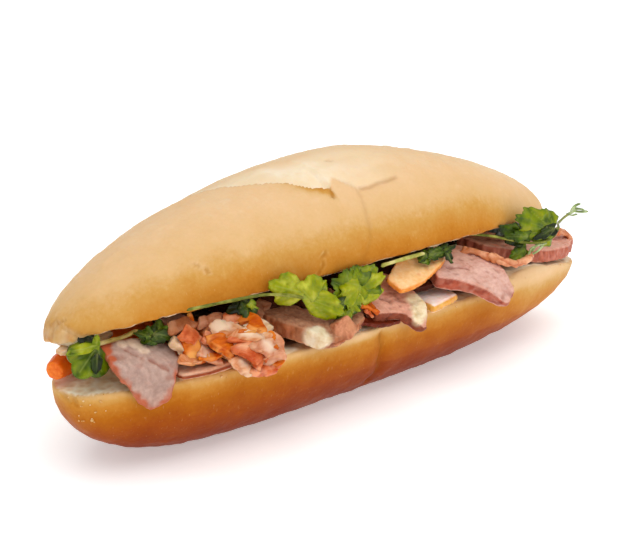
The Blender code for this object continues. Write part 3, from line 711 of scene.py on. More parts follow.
def ribbon(name, path, width, thick, seed=0, lean=(0, -0.5, 1), square=5, twist=0, sides=20, ends=0.8,
           swell=0.28, blunt_share=0.16, pale=(), crumple=0.22):
    """A cut strip that follows a curve, with crisp corners, uneven sides and blunt ends."""
    curve = smooth_curve(path)
    count = len(curve)
    ahead = np.gradient(curve, axis=0)
    ahead /= np.linalg.norm(ahead, axis=1)[:, None]
    across = np.cross(ahead, np.array(lean, float))
    across /= np.linalg.norm(across, axis=1)[:, None]
    normal = np.cross(across, ahead)
    share = np.linspace(0, 1, count)
    length = np.linalg.norm(np.diff(curve, axis=0), axis=1).sum()
    blunt = max(width, thick) * blunt_share / length
    near_end = np.minimum(share, 1 - share) / blunt
    size = ends + (1 - ends) * np.sqrt(np.clip(1 - (1 - np.clip(near_end, 0, 1)) ** 2, 0, 1))
    turn = 2 * math.pi * np.arange(sides) / sides
    wide = np.sign(np.cos(turn)) * np.abs(np.cos(turn)) ** (2 / square)
    high = np.sign(np.sin(turn)) * np.abs(np.sin(turn)) ** (2 / square)
    angle = twist * (share - 0.5)
    side_way = across * np.cos(angle)[:, None] + normal * np.sin(angle)[:, None]
    high_way = normal * np.cos(angle)[:, None] - across * np.sin(angle)[:, None]
    uneven = 1 + swell * lumps(curve, 4, seed)
    aside, above = (wide * width / 2)[None, :, None], (high * thick / 2)[None, :, None]
    slanted = ahead[:, None, :] * aside * (CUT_SLANT * (2 * share - 1) ** 3)[:, None, None]
    rings = (curve[:, None, :] + slanted + side_way[:, None, :] * aside * (size * uneven)[:, None, None]
             + high_way[:, None, :] * above * size[:, None, None])
    points = np.concatenate([rings.reshape(-1, 3), curve[:1], curve[-1:]])
    faces = ring_faces(count, sides)
    first, last = count * sides, count * sides + 1
    for i in range(sides):
        j = (i + 1) % sides
        faces.append((j, i, first))
        faces.append(((count - 1) * sides + i, (count - 1) * sides + j, last))
    thing = mesh_object(name, points, faces)
    face_outwards(thing)
    at, out = mm_points(thing)
    crease = smooth_step(0.2, 0, np.abs(lumps(at, 3.2, seed + 6)))
    push = crumple * (lumps(at, 2.8, seed + 4) + 0.45 * rough(at, 1.3, seed + 5) - 1.3 * crease)
    put_points(thing, at + out * push[:, None])
    # The creases take the darker side colour: painted shade in the folds.
    mark(thing, "side", crease)
    # Pale spots: partly pale flesh, partly painted highlights.
    if pale:
        mark(thing, "fat", near_spots(at, pale))
    shade_smooth(thing)
    return thing


def add_marks(thing, seed):
    """The marks that carve leaves, for a strip that was made from a path."""
    at = mm_points(thing)[0]
    mark(thing, "streak", 0.5 + 0.22 * lumps(at, 1.3, seed, (1, 2, 1)))
    mark(thing, "rim", 0.8 * smooth_step(0.25, 0.75, lumps(at, 3, seed + 1)))
    return thing


def pickled(name, deep, light, pale, see=0.35):
    """Pickled root: wet and bright, with streaks 4 mm long and 1 mm wide along the root, clouds
    4 mm across and paler, clearer patches of 8 mm."""
    material = new_material(name)
    place = add_node(material, "TexCoord")
    side, spot = (add_node(material, "Attribute", attribute_name=word) for word in ("side", "fat"))
    cloud = add_node(material, "TexNoise", {"Scale": 230, "Detail": 4, "Roughness": 0.6, "Vector": place})
    stretched = add_node(material, "Mapping", {"Scale": (240, 900, 900), "Vector": place})
    streak = add_node(material, "TexNoise", {"Scale": 1, "Detail": 3, "Vector": stretched})
    wide = add_node(material, "TexNoise", {"Scale": 130, "Detail": 2, "Vector": place})
    both = add_node(material, "Mix", {"Factor": 0.4, "A": cloud, "B": streak})
    flesh = add_node(material, "ValToRGB", {"Fac": both}, ((0.34, deep), (0.6, light)))
    bleach = add_node(material, "MapRange", {"From Min": 0.56, "From Max": 0.66, "To Max": 0.6,
                                             "Value": wide})
    faded = add_node(material, "Mix", {"Factor": bleach, "A": flesh, "B": pale}, data_type="RGBA")
    # Cut sides take the deep colour; on strips the side mark is painted shade in their creases.
    less = add_node(material, "Math", {0: side, 1: 0.7}, operation="MULTIPLY")
    edged = add_node(material, "Mix", {"Factor": less, "A": faded, "B": deep}, data_type="RGBA")
    # Pale spots: partly pale flesh, partly painted highlights.
    final = add_node(material, "Mix", {"Factor": spot, "A": edged, "B": pale}, data_type="RGBA")
    wet = add_node(material, "MapRange", {"From Min": 0.35, "From Max": 0.65, "To Min": 0.14, "To Max": 0.32,
                                          "Value": cloud})
    bump = add_node(material, "Bump", {"Strength": 0.35, "Distance": 0.0002, "Height": both})
    return finish_material(material, add_node(material, "BsdfPrincipled", {
        "Subsurface Weight": see, "Subsurface Radius": (1, 0.5, 0.2), "Subsurface Scale": 0.002,
        "Specular IOR Level": 0.16, "IOR": 1.38, "Coat Weight": 0.1, "Coat Roughness": 0.1,
        "Base Color": final, "Roughness": wet, "Normal": bump}))


# Carrot stays strong orange; the daikon beside it takes up some of its pink.
carrot_orange = pickled("pickled_carrot", "#b84200", "#e07616", "#f0a858")
# A brighter copy of the carrot for the baton's end, which lies in the lid's shade: painted light.
carrot_bright = pickled("fresh_cut_pickled_carrot", "#dc5604", "#f4862c", "#fcb478")
carrot_light = pickled("pale_pickled_carrot", "#c46c30", "#e4a87c", "#f2d2b2")
carrot_red = pickled("pickled_carrot_core", "#b84418", "#e0804c", "#f0ae84")
daikon_white = pickled("pickled_daikon", "#c89c70", "#e4c6a6", "#f4e2cc", see=0.4)
daikon_pink = pickled("pink_pickled_daikon", "#c06c42", "#e0a682", "#f0ceb2", see=0.4)
carrot_slab = moist_food("cut_pickled_carrot", ("#f6b266", "#ffd8a4"), ("#e07818", "#f4a040"), "#f6aa58",
                         ("#f6cf98", "#fae2bc"), gloss=0.24, coat=0.2, glow=0.35)
rinded_daikon = moist_food("pale_slice_with_rind", ("#f8d6c8", "#fff2ea"), ("#d88a24", "#f0b850"), "#eebc78",
                           ("#e4c49a", "#f8e6cc"), gloss=0.28, coat=0.15, glow=0.35)

ROOTS = (
    # The baton's pale spot on its left rim is a painted highlight.
    ("carrot_baton_end", "carrot_baton", "carrot", carrot_bright, 301, 12,
     dict(ragged=0.08, wave=0.15, pits=0, ridges=0.04, axis=(-0.86, -0.5, 0), rim=0, move=(-0.7, -0.7, 0.4),
          fat=((-114, -9, 37, 2.2),))),
    ("daikon_baton", "daikon_stick", "daikon", daikon_white, 311, 3, dict(ragged=0.2, wave=0.2, pits=0.1)),
    ("carrot_wedge_cut", "carrot_wedge", "carrot", carrot_orange, 321, 3,
     dict(ragged=0.5, wave=0.35, pits=0.1, fat=((-80, -31, 36.4, 2.6),))),
    ("carrot_ribbon", "carrot_shred", "carrot", carrot_orange, 331, 3,
     dict(ragged=0.2, wave=0.2, pits=0.1, fat=((-73.5, -20.8, 45.5, 1.7),))),
    ("carrot_slice", "carrot_slab", "pickle", carrot_slab, 341, 2,
     dict(ragged=0.35, wave=0.35, pits=0.15, rim=0.4, move=(-3.2, -0.4, -1.4))),
    ("pale_rinded_slice", "pale_slab", "daikon", rinded_daikon, 351, 2,
     dict(ragged=0.3, wave=0.2, pits=0.1, rim=0.3)),
)
for piece, node, slot, material, seed, softening, cutting in ROOTS:
    dress(carve(soft_copy(piece, node, MEAT_VOXEL, softening), seed, **cutting), material, slot, node)

# The heap: a wet core under the pieces that show.
heap_core = carve(soft_copy("pickle_heap_core", "pickle_heap", 0.5), 361, wave=0.9, ragged=0.6, pits=0.7,
                  fat=((-62, -43, 34, 3), (-70, -38, 39, 3)))
at, out = mm_points(heap_core)
put_points(heap_core, at - out * 0.7)
dress(heap_core, carrot_light, "pickle", "pickle_heap")

# Name, width, thickness, turn along its length, what it is cut from, its pale spots (partly pale flesh,
# partly painted highlights) and its path.
HEAP = (
    ("heap_pale_chunk", 7.6, 2.6, 0.2, carrot_light, ((-68, -29, 43, 3.2),),
     ((-71.8, -29.4, 40), (-67.4, -29.2, 41.8), (-61.6, -30, 41.8))),
    ("heap_carrot_curl", 5.6, 2.4, 0.4, carrot_orange, ((-62, -36.6, 43, 1.4),),
     ((-60, -28.4, 43.6), (-58.6, -32.6, 43.4), (-60.6, -36.4, 42.2), (-64.6, -38.2, 41))),
    ("heap_carrot_wedge", 6.4, 2.6, 0.2, carrot_orange, (),
     ((-72.6, -29.8, 41.4), (-71.8, -33.4, 40.2), (-69.8, -37.8, 37.8))),
    ("heap_daikon_right", 6, 1.8, 0.3, daikon_white, (),
     ((-60.4, -32, 43), (-57.6, -35, 42.2), (-56.4, -38.6, 40.6))),
    ("heap_red_fold", 6.2, 2.2, 0.3, carrot_red, ((-68.6, -40.6, 40.4, 1.6),),
     ((-69.8, -38.8, 40.2), (-67.6, -41.4, 39.2), (-65.8, -43.2, 37), (-65.2, -44, 34))),
    ("heap_light_flap", 7.2, 1.6, 0.3, daikon_pink, ((-62, -43, 38.6, 2.4),),
     ((-64.8, -40.4, 40.8), (-61.8, -42.4, 39.4), (-60.2, -43.8, 36.6), (-60.8, -44.2, 33.8))),
    ("heap_carrot_crescent", 3.6, 2.6, 0.2, carrot_orange, ((-57.4, -43, 34, 1.8),),
     ((-58.8, -38.4, 41.2), (-57, -40.2, 39.2), (-56.7, -41.6, 36.2), (-58, -43.2, 33.4),
      (-61.2, -44.4, 32.2))),
    ("heap_red_low", 4.8, 2.2, 0.2, carrot_red, ((-66.4, -44.6, 33.4, 1.4),),
     ((-68.4, -43, 33.6), (-64.6, -44.2, 32.8), (-60.6, -44.6, 32.6))),
    ("heap_pale_bit", 5.2, 2, 0.1, carrot_light, ((-70.4, -42, 35.4, 1.8),),
     ((-72, -39.4, 36.8), (-70.2, -41.4, 35.2), (-68.2, -43, 33.4))),
    ("heap_middle_fold", 5, 1.8, 0.6, carrot_light, ((-65, -37.6, 43, 2),),
     ((-68.8, -35, 42.6), (-65, -37.6, 42), (-62.2, -39.4, 41.2), (-58.4, -38.8, 41.2))),
    ("heap_daikon_low", 4.6, 1.8, 0.2, daikon_pink, (),
     ((-58.8, -39.4, 40.4), (-56.4, -41.2, 38.4), (-58, -43.2, 35.4))),
    ("heap_shred_one", 1.6, 1.2, 0.8, carrot_orange, (),
     ((-67, -36, 43.2), (-62.6, -38, 42.4), (-59, -37.6, 42))),
    ("heap_shred_two", 1.5, 1.1, 0.6, carrot_red, (),
     ((-70.6, -35.6, 41.6), (-67.4, -38.8, 41), (-64.4, -41, 40.2))),
    ("heap_shred_three", 1.5, 1.2, 0.6, carrot_red, (),
     ((-66.6, -41.2, 40.2), (-63.8, -42.8, 38.4), (-63.2, -44.2, 35))),
    ("heap_shred_four", 1.4, 1.1, 0.5, carrot_orange, (),
     ((-60.4, -42.6, 38.6), (-58, -42.6, 37.2), (-57.4, -43.4, 34.8))),
    ("heap_carrot_top", 4.4, 2, 0.6, carrot_red, (),
     ((-66, -26.6, 43.4), (-60.6, -27.6, 43.8), (-56, -28.6, 43))),
    ("heap_back_ribbon", 4.6, 1.8, 0.8, daikon_pink, (),
     ((-72, -22.6, 42.8), (-66, -24, 43.4), (-59, -24.4, 43))),
)
for i, (piece, width, thick, twist, material, pale, path) in enumerate(HEAP):
    strip = ribbon(piece, path, width, thick, 370 + i, twist=twist, pale=pale, ends=0.6, blunt_share=0.3,
                   crumple=0.34, square=8)
    dress(strip, material, "pickle")

# Small scraps that lie between the bigger pieces.
SCRAPS = (
    ("daikon_scrap_left", 4.2, 2.4, 0.2, daikon_white, "daikon",
     ((-84.4, -26, 41.8), (-81.8, -26, 39.8), (-79.9, -26, 37.6))),
    ("carrot_scrap_left", 5.4, 2.2, 0.3, carrot_red, "carrot",
     ((-80.4, -26, 43.6), (-77, -27, 41.4), (-76.2, -27.6, 38.2), (-78, -28, 35.8))),
    ("pink_scrap_left", 4.6, 2, 0.1, daikon_pink, "daikon",
     ((-77.6, -30.4, 38.2), (-73.9, -31, 35.8), (-70.2, -31.6, 33.2))),
    ("red_scrap_left", 4, 2, 0.3, carrot_red, "carrot",
     ((-74.6, -28.4, 41.4), (-70.6, -29, 39.6), (-67.1, -29.6, 37.2))),
    ("pink_scrap_low", 3.4, 1.8, 0.1, carrot_light, "carrot",
     ((-84.6, -30.2, 37.6), (-81.3, -30.6, 36.2), (-77.9, -31, 36))),
    ("orange_scrap_low", 2, 1.2, 0.3, carrot_orange, "carrot",
     ((-79.4, -32, 36.8), (-74.7, -32.4, 36), (-70.6, -32.8, 36.2))),
    ("carrot_shard", 3.4, 1.6, 0.5, carrot_orange, "carrot",
     ((-16.8, -35.2, 40.8), (-13.4, -35.8, 38.6), (-10.2, -36, 36.2))),
    ("carrot_shard_low", 2.8, 1.5, 0.2, carrot_red, "carrot",
     ((-15.2, -36, 38.2), (-12.4, -36.4, 35.4))),
)
for i, (piece, width, thick, twist, material, slot, path) in enumerate(SCRAPS):
    scrap = ribbon(piece, path, width, thick, 390 + i, twist=twist, ends=0.65, blunt_share=0.25,
                   crumple=0.3, square=8)
    dress(scrap, material, slot)

# Thin strips of meat that lie between the roots and on the slabs; the near-black ones are painted shade
# behind and between the fillings.
STRIPS = (
    ("salted_strip_left", 4.6, 1.4, 0.2, salted_pork,
     ((-83, -22.6, 44), (-78.6, -22.8, 44.2), (-73.8, -23.2, 44.6))),
    ("dark_strip_one", 6, 2.6, 0.3, dark_pork,
     ((-45.4, -19.4, 42.2), (-39.4, -19.6, 42.6), (-34, -20.6, 42.4), (-29, -23, 41.4))),
    ("dark_strip_two", 4.4, 2, 0.4, roast_pork,
     ((-50, -24.4, 41.4), (-47.6, -21.6, 42.4), (-43.6, -20.2, 42.4))),
    ("dark_strip_three", 4.4, 1.8, 0.3, dark_pork,
     ((-32, -23.6, 41.2), (-27.6, -26.4, 40.6), (-22.6, -29.6, 39.6))),
    ("dark_strip_four", 4.6, 2.4, 0.3, dark_pork,
     ((10.6, -28.6, 37.4), (16.4, -29, 37.4), (22.4, -29.4, 37.2))),
    ("red_strip_low", 3.2, 1.8, 0.2, red_pork,
     ((-17, -35.2, 34), (-11.6, -35.8, 32.4), (-5.6, -36.4, 31.2), (-1, -36.8, 30.9))),
)
for i, (piece, width, thick, twist, material, path) in enumerate(STRIPS):
    strip = ribbon(piece, path, width, thick, 410 + i, twist=twist, ends=0.6, blunt_share=0.3,
                   crumple=0.4, square=8)
    dress(add_marks(strip, 420 + i), material, "pork")

# The far end of the centre slab was pulled apart along its fibres and stands up.
torn_path = ((-33.4, -40.6, 34.6), (-29.6, -40.6, 35.4), (-24.6, -39.4, 36.4))
torn_end = ribbon("torn_pork_end", torn_path, 6.2, 3, 441, lean=(-0.67, -0.74, 0.1), square=8, ends=0.8,
                  swell=0.2, blunt_share=0.15, crumple=0.3)
dress(add_marks(torn_end, 442), torn_pork, "pork")

# The glazed rind is a narrow cord of browned fat and skin, lumpy along its length.
rind_path = ((42.6, -24, 43.2), (45.6, -26.2, 42.9), (47.4, -29.6, 42.2), (49.9, -33, 41), (53, -36, 39.6),
             (58.3, -37.9, 38.4), (62.8, -37.6, 38.8), (67.2, -36.2, 39.4))
rind = ribbon("glazed_rind_strip", rind_path, 3, 2.6, 201, square=2.4, twist=2, ends=0.3, swell=0.5,
              blunt_share=0.6, crumple=0.4)
dress(add_marks(rind, 430), glazed_rind, "browned_pork", "browned_strip")
cap_path = ((96.6, -20.4, 37.6), (101.6, -20.6, 38.2), (106.2, -20.6, 36.8), (110, -20.6, 33.6))
rind_cap = ribbon("glazed_rind_cap", cap_path, 4.6, 2.4, 205, square=3, twist=0.6, ends=0.4, swell=0.4,
                  blunt_share=0.5, crumple=0.4)
dress(add_marks(rind_cap, 431), glazed_rind, "browned_pork")

# ---------------------------------------------------------------- the coriander
# Fresh sprigs: thin lobed leaves with sunken veins, folded and crumpled by the bread,
# on round pale-green stems. They are pushed in last and hang over the front.

LEAF_SPACING = 0.4
LEAF_THICK = 0.26


def inside_curve(points, curve):
    """Which of the flat points lie inside a closed curve."""
    x, y = points[:, 0][:, None], points[:, 1][:, None]
    x0, y0 = curve.T
    x1, y1 = np.roll(curve, -1, axis=0).T
    crosses = ((y0 > y) != (y1 > y)) & (x < (x1 - x0) * (y - y0) / np.where(y1 == y0, 1e-9, y1 - y0) + x0)
    return crosses.sum(axis=1) % 2 == 1


def fan_outline(length, width, lobes, notch, teeth, fan, seed):
    """A fan-shaped leaflet with its stalk at (0, 0): rounded lobes with small blunt teeth."""
    swing = np.linspace(-fan, fan, 241)
    wave = np.cos if lobes % 2 else np.sin
    lobe = np.abs(wave(swing * lobes * math.pi / (2 * fan))) ** 0.7
    flat = np.column_stack([swing * 8, 0 * swing, 0 * swing])
    reach = (1 - notch + notch * lobe) * (1 - 0.22 * (swing / fan) ** 2)
    reach *= (1 + teeth * np.cos(swing * lobes * 3 * math.pi / fan + seed)
              + (0.03 + 0.6 * teeth) * lumps(flat, 2.2, seed))
    side, up = reach * np.sin(swing), reach * np.cos(swing)
    rim = np.column_stack([side * width / np.ptp(side), up * length / up.max()])
    rim = np.concatenate([rim, [(0, -0.02 * length), rim[0]]])
    run = np.concatenate([[0], np.cumsum(np.linalg.norm(np.diff(rim, axis=0), axis=1))])
    even = np.linspace(0, run[-1], max(24, int(run[-1] / LEAF_SPACING)))[:-1]
    return np.column_stack([np.interp(even, run, rim[:, 0]), np.interp(even, run, rim[:, 1])])


def leaflet(name, base, tip, width, tone, seed, facing, ruffle, lobes=3, notch=0.24, teeth=0.03,
            spread=100, cup=0, fold=0):
    """A leaflet from its stalk end to the tip of its middle lobe, cupped, folded and ruffled."""
    base, tip = np.array(base, float), np.array(tip, float)
    length = np.linalg.norm(tip - base)
    up = (tip - base) / length
    yaw, tilt = np.radians(facing)
    front = np.array([math.sin(yaw) * math.cos(tilt), -math.cos(yaw) * math.cos(tilt), math.sin(tilt)])
    front -= up * (front @ up)
    front /= np.linalg.norm(front)
    across = np.cross(up, front)
    fan = math.radians(spread)
    rim = fan_outline(length, width, lobes, notch, teeth, fan, seed)
    low, high = rim.min(axis=0), rim.max(axis=0)
    grid = np.stack(np.meshgrid(np.arange(low[0], high[0], LEAF_SPACING),
                                np.arange(low[1], high[1], LEAF_SPACING)),
                    axis=-1).reshape(-1, 2)
    grid = grid[inside_curve(grid, rim)]
    clear = np.sqrt(((grid[:, None, :] - rim[None, :, :]) ** 2).sum(axis=2)).min(axis=1)
    spots = np.concatenate([rim, grid[clear > 0.28]])
    count = len(rim)
    edges = [(i, (i + 1) % count) for i in range(count)]
    flat = delaunay_2d_cdt([Vector(p) for p in spots], edges, [], 1, 1e-5)
    spots = np.array([tuple(p) for p in flat[0]])
    to_rim = np.sqrt(((spots[:, None, :] - rim[None, :, :]) ** 2).sum(axis=2)).min(axis=1)
    solid = np.column_stack([spots, np.zeros(len(spots))])
    far = np.linalg.norm(spots / (width / 2, length), axis=1)
    swing = np.arctan2(spots[:, 0] / width * 1.6, spots[:, 1] / length)
    vein, beside = np.zeros(len(spots)), np.full(len(spots), 9)
    half = (lobes - 1) / 2
    for k in range(2 * lobes - 1):
        turn = (k / 2 - half) * 2 * fan / lobes
        long = 0.86 if k % 2 == 0 else 0.55
        end = (math.sin(turn) * long * width / 1.8, math.cos(turn) * long * length, 0)
        gap, along = line_distance(solid, [(0, 0, 0), end])
        beside = np.minimum(beside, gap)
        vein = np.maximum(vein, np.exp(-(gap / (0.26 * (1.1 - along))) ** 2) * (1 if k % 2 == 0 else 0.5))
    height = cup * spots[:, 0] ** 2 / width * 2 - fold * np.sqrt(spots[:, 0] ** 2 + 0.3)
    height += ruffle * far ** 2 * (np.sin(swing * 5.2 + seed) + 0.6 * np.sin(swing * 9 + 2 * seed))
    height += 0.55 * ruffle * rough(solid, 4, seed + 2) + 0.22 * lumps(solid, 1.3, seed + 4)
    height += 0.3 * smooth_step(0, 1.3, beside) - 0.4 * smooth_step(1.1, 0, to_rim)
    place = base + spots[:, :1] * across + spots[:, 1:] * up + height[:, None] * front
    thing = mesh_object(name, place, [tuple(f) for f in flat[2]])
    mark(thing, "vein", vein)
    mark(thing, "tone", tone + 0.24 * rough(solid, 3, seed + 6) - 0.14 * smooth_step(1, 0, to_rim)
         + 0.10 * smooth_step(0.6, 1.4, beside))
    apply_modifier(thing, "SOLIDIFY", thickness=LEAF_THICK * MM, offset=0)
    face_outwards(thing)
    shade_smooth(thing)
    return thing


# Leaf: waxy, so small highlights slide over it, and thin enough to glow a little. Its cells
# are drawn 1 mm across, much coarser than real ones, so that they show.
coriander = new_material("coriander_leaf")
leaf_at = add_node(coriander, "TexCoord")
leaf_tone, leaf_vein = (add_node(coriander, "Attribute", attribute_name=word) for word in ("tone", "vein"))
leaf_cloud = add_node(coriander, "TexNoise", {"Scale": 420, "Detail": 4, "Roughness": 0.6, "Vector": leaf_at})
leaf_cells = add_node(coriander, "TexVoronoi", {"Scale": 1100, "Vector": leaf_at}, feature="DISTANCE_TO_EDGE")
leaf_vary = add_node(coriander, "MapRange", MOSTLY | {"To Min": -0.06, "To Max": 0.06, "Value": leaf_cloud})
leaf_shade = add_node(coriander, "Math", {0: leaf_tone, 1: leaf_vary})
leaf_green = add_node(coriander, "ValToRGB", {"Fac": leaf_shade}, (
    (0, "#141c04"), (0.2, "#2a3a08"), (0.4, "#485e0a"), (0.6, "#748406"), (0.8, "#969a04"), (1, "#c0c03c")))
vein_share = add_node(coriander, "Math", {0: leaf_vein, 1: 0.3}, operation="MULTIPLY")
veined = add_node(coriander, "Mix", {"Factor": vein_share, "A": leaf_green, "B": "#b0b860"}, data_type="RGBA")
leaf_bump = add_node(coriander, "Bump", {"Strength": 0.4, "Distance": 0.00015, "Height": leaf_cells})
finish_material(coriander, add_node(coriander, "BsdfPrincipled", {
    "Subsurface Weight": 0.25, "Subsurface Radius": (0.4, 1, 0.2), "Subsurface Scale": 0.0006,
    "Specular IOR Level": 0.22, "IOR": 1.42, "Roughness": 0.28, "Coat Weight": 0.08, "Coat Roughness": 0.1,
    "Base Color": veined, "Normal": leaf_bump}))

# Each sprig: the solid that it stands for, the way it faces (turn, tilt) and its leaflets, each
# with its stalk end, tip, width, how light it is, how ruffled it is and how else it grew.
# The nearly black leaflets that lie deep behind the others are painted shade.
SPRIGS = (
    ("coriander_left", "leaf_left", (-28, 25), (
        ((-105.6, -20.6, 44.4), (-113.2, -20.6, 36.6), 13, 0.46, 1.3,
         dict(spread=80, notch=0.14, teeth=0, fold=0.9)),
        ((-105.4, -21.2, 44.6), (-116.2, -21.2, 44.9), 3.2, 0.76, 0.5,
         dict(lobes=1, spread=60, notch=0.05, teeth=0)),
        ((-106.6, -21.6, 42.4), (-107.6, -21.8, 36.4), 3.4, 0.18, 0.5,
         dict(lobes=1, notch=0.05, teeth=0, spread=70)),
        ((-106.8, -21.2, 43.8), (-105.6, -20.6, 47.6), 2.2, 0.78, 0.4, dict(lobes=1, notch=0.05, teeth=0)),
        # This nearly black leaflet fills the recess behind the sprig: painted shade.
        ((-103, -15.4, 43.2), (-108.4, -14.6, 45.2), 5, 0.04, 0.5, dict(notch=0.1, teeth=0, spread=80)))),
    ("coriander_curly", "leaf_curly", (-24, 35), (
        ((-86.9, -22.5, 42.3), (-92.2, -18.6, 44.6), 5.6, 0.34, 0.9, {}),
        ((-86, -22.2, 42.6), (-83.5, -19.8, 46.8), 5.8, 0.40, 0.9, {}),
        ((-87.6, -21.8, 43.5), (-82.2, -25, 42.1), 5, 0.32, 0.8, {}),
        ((-87.2, -20.6, 43.9), (-90.3, -21.4, 41.1), 4.4, 0.26, 0.8, {}))),
    ("coriander_dark", "leaf_dark", (-10, 35), (
        ((-55.9, -27.9, 47.4), (-64.4, -26.9, 46.4), 5.8, 0.16, 0.7, {}),
        ((-56.9, -28.4, 47.4), (-60, -30.9, 43), 6.2, 0.30, 0.8, {}),
        ((-56.8, -28.9, 48.1), (-55, -30.7, 45.7), 3.2, 0.70, 0.6, {}))),
    ("coriander_bright", "leaf_bright", (-12, 12), (
        ((-39.6, -35.6, 48.6), (-51.8, -31.9, 53.4), 10.4, 0.78, 0.8,
         dict(spread=66, notch=0.18, teeth=0.015, fold=0.3)),
        ((-38, -36.6, 45.8), (-37, -35.8, 54.2), 12.6, 0.74, 0.9,
         dict(spread=70, notch=0.16, teeth=0.015, fold=0.3)),
        ((-41.9, -35.2, 48.4), (-27.1, -39.8, 40.6), 8.8, 0.70, 0.7,
         dict(spread=60, notch=0.10, teeth=0.015, fold=0.3)))),
    ("coriander_veined", "leaf_veined", (-8, 22), (
        ((-19.5, -36, 44.1), (-22.6, -32.8, 52.2), 17, 0.46, 1.1, dict(lobes=5, notch=0.16, spread=75)),
        ((-18, -36, 44.3), (-9.4, -34.4, 51.2), 12, 0.48, 1.1, dict(notch=0.16, spread=80)),
        ((-20.7, -37.4, 43), (-7.4, -37.1, 48.6), 9.4, 0.80, 1, dict(fold=0.3, notch=0.16, spread=75)),
        ((-18.1, -36.9, 46.9), (-28.6, -37.5, 42), 9.4, 0.70, 1.1, dict(fold=0.3, notch=0.16)),
        ((-21.8, -36.8, 42.8), (-30.6, -37.2, 38.6), 9.4, 0.44, 0.8, dict(notch=0.2)),
        ((-22.9, -37.4, 43.1), (-20, -39.2, 39.4), 7, 0.70, 0.8, dict(notch=0.2)),
        ((-25, -37.4, 43.2), (-34.4, -36.8, 41.4), 4, 0.34, 0.5, {}))),
    ("coriander_upper", "leaf_upper", (-10, 50), (
        ((15.3, -32.7, 46.6), (19.4, -29.6, 50), 4.6, 0.50, 0.6, {}),
        ((18, -31.4, 48.3), (28.9, -32.6, 48.6), 5.4, 0.34, 0.8, dict(lobes=5)),
        ((24.4, -31.4, 48.5), (32.2, -31.4, 49), 4.4, 0.24, 0.6, {}),
        ((26.1, -32.7, 48.4), (24.4, -37, 44.9), 3.2, 0.26, 0.6, {}),
        ((17.8, -30.9, 49), (13.1, -32.5, 46.8), 3, 0.36, 0.5, {}))),
    ("coriander_right", "leaf_right", (-14, 8), (
        ((76.6, -38.1, 47.2), (60.8, -33.3, 53.8), 14, 0.58, 0.6,
         dict(lobes=5, notch=0.12, teeth=0.03, cup=-0.3)),
        ((66.3, -34, 45.4), (55, -30.8, 50.6), 8.6, 0.26, 0.7, dict(teeth=0.03)),
        ((77, -38.7, 47.9), (67.6, -36.8, 45), 4.6, 0.10, 0.5, {}),
        ((66.4, -35.4, 46.3), (56.4, -33.1, 47.6), 5, 0.36, 0.6, {}),
        # This nearly black leaflet fills the dark gap behind the right leaf: painted shade.
        ((75, -21, 44.6), (57, -22.6, 48.6), 8, 0.04, 0.4, {}))),
    ("coriander_small", "leaf_small", (-10, 30), (
        ((65.5, -35.4, 41.6), (56, -34.9, 39.2), 5.4, 0.46, 0.5, dict(fold=0.2, notch=0.12)),)),
)
for i, (sprig, node, facing, leaflets) in enumerate(SPRIGS):
    for k, (base, tip, width, tone, ruffle, growth) in enumerate(leaflets):
        seed = 401 + 10 * i + k
        grown = leaflet(f"{sprig}_{k + 1}", base, tip, width, tone, seed, facing, ruffle, **growth)
        dress(grown, coriander, "coriander_leaf", *([node] if k == 0 else []))


def stem_material(name, dark, middle, light):
    """A solid, watery stem, paler than the leaves, with clouds 4 mm long and ribs under 1 mm."""
    stem = new_material(name)
    place = add_node(stem, "TexCoord")
    cloud = add_node(stem, "TexNoise", {"Scale": 230, "Detail": 3, "Vector": place})
    speck = add_node(stem, "TexNoise", {"Scale": 1300, "Detail": 2, "Vector": place})
    tone = add_node(stem, "ValToRGB", {"Fac": cloud}, ((0.34, dark), (0.5, middle), (0.66, light)))
    bump = add_node(stem, "Bump", {"Strength": 0.25, "Distance": 0.0001, "Height": speck})
    return finish_material(stem, add_node(stem, "BsdfPrincipled", {
        "Subsurface Weight": 0.35, "Subsurface Radius": (0.7, 1, 0.3), "Subsurface Scale": 0.001,
        "Roughness": 0.32, "Specular IOR Level": 0.25, "IOR": 1.38, "Coat Weight": 0.08,
        "Coat Roughness": 0.12, "Base Color": tone, "Normal": bump}))


pale_stem = stem_material("coriander_stem", "#8a8c34", "#b0ac54", "#d4cc88")
green_stem = stem_material("coriander_stem_green", "#4c5414", "#707424", "#9c9c48")
tan_stem = stem_material("coriander_stem_dry", "#8c7434", "#ac9450", "#c8b47c")
shoot_stem = stem_material("coriander_shoot", "#748448", "#94a46a", "#b6c292")

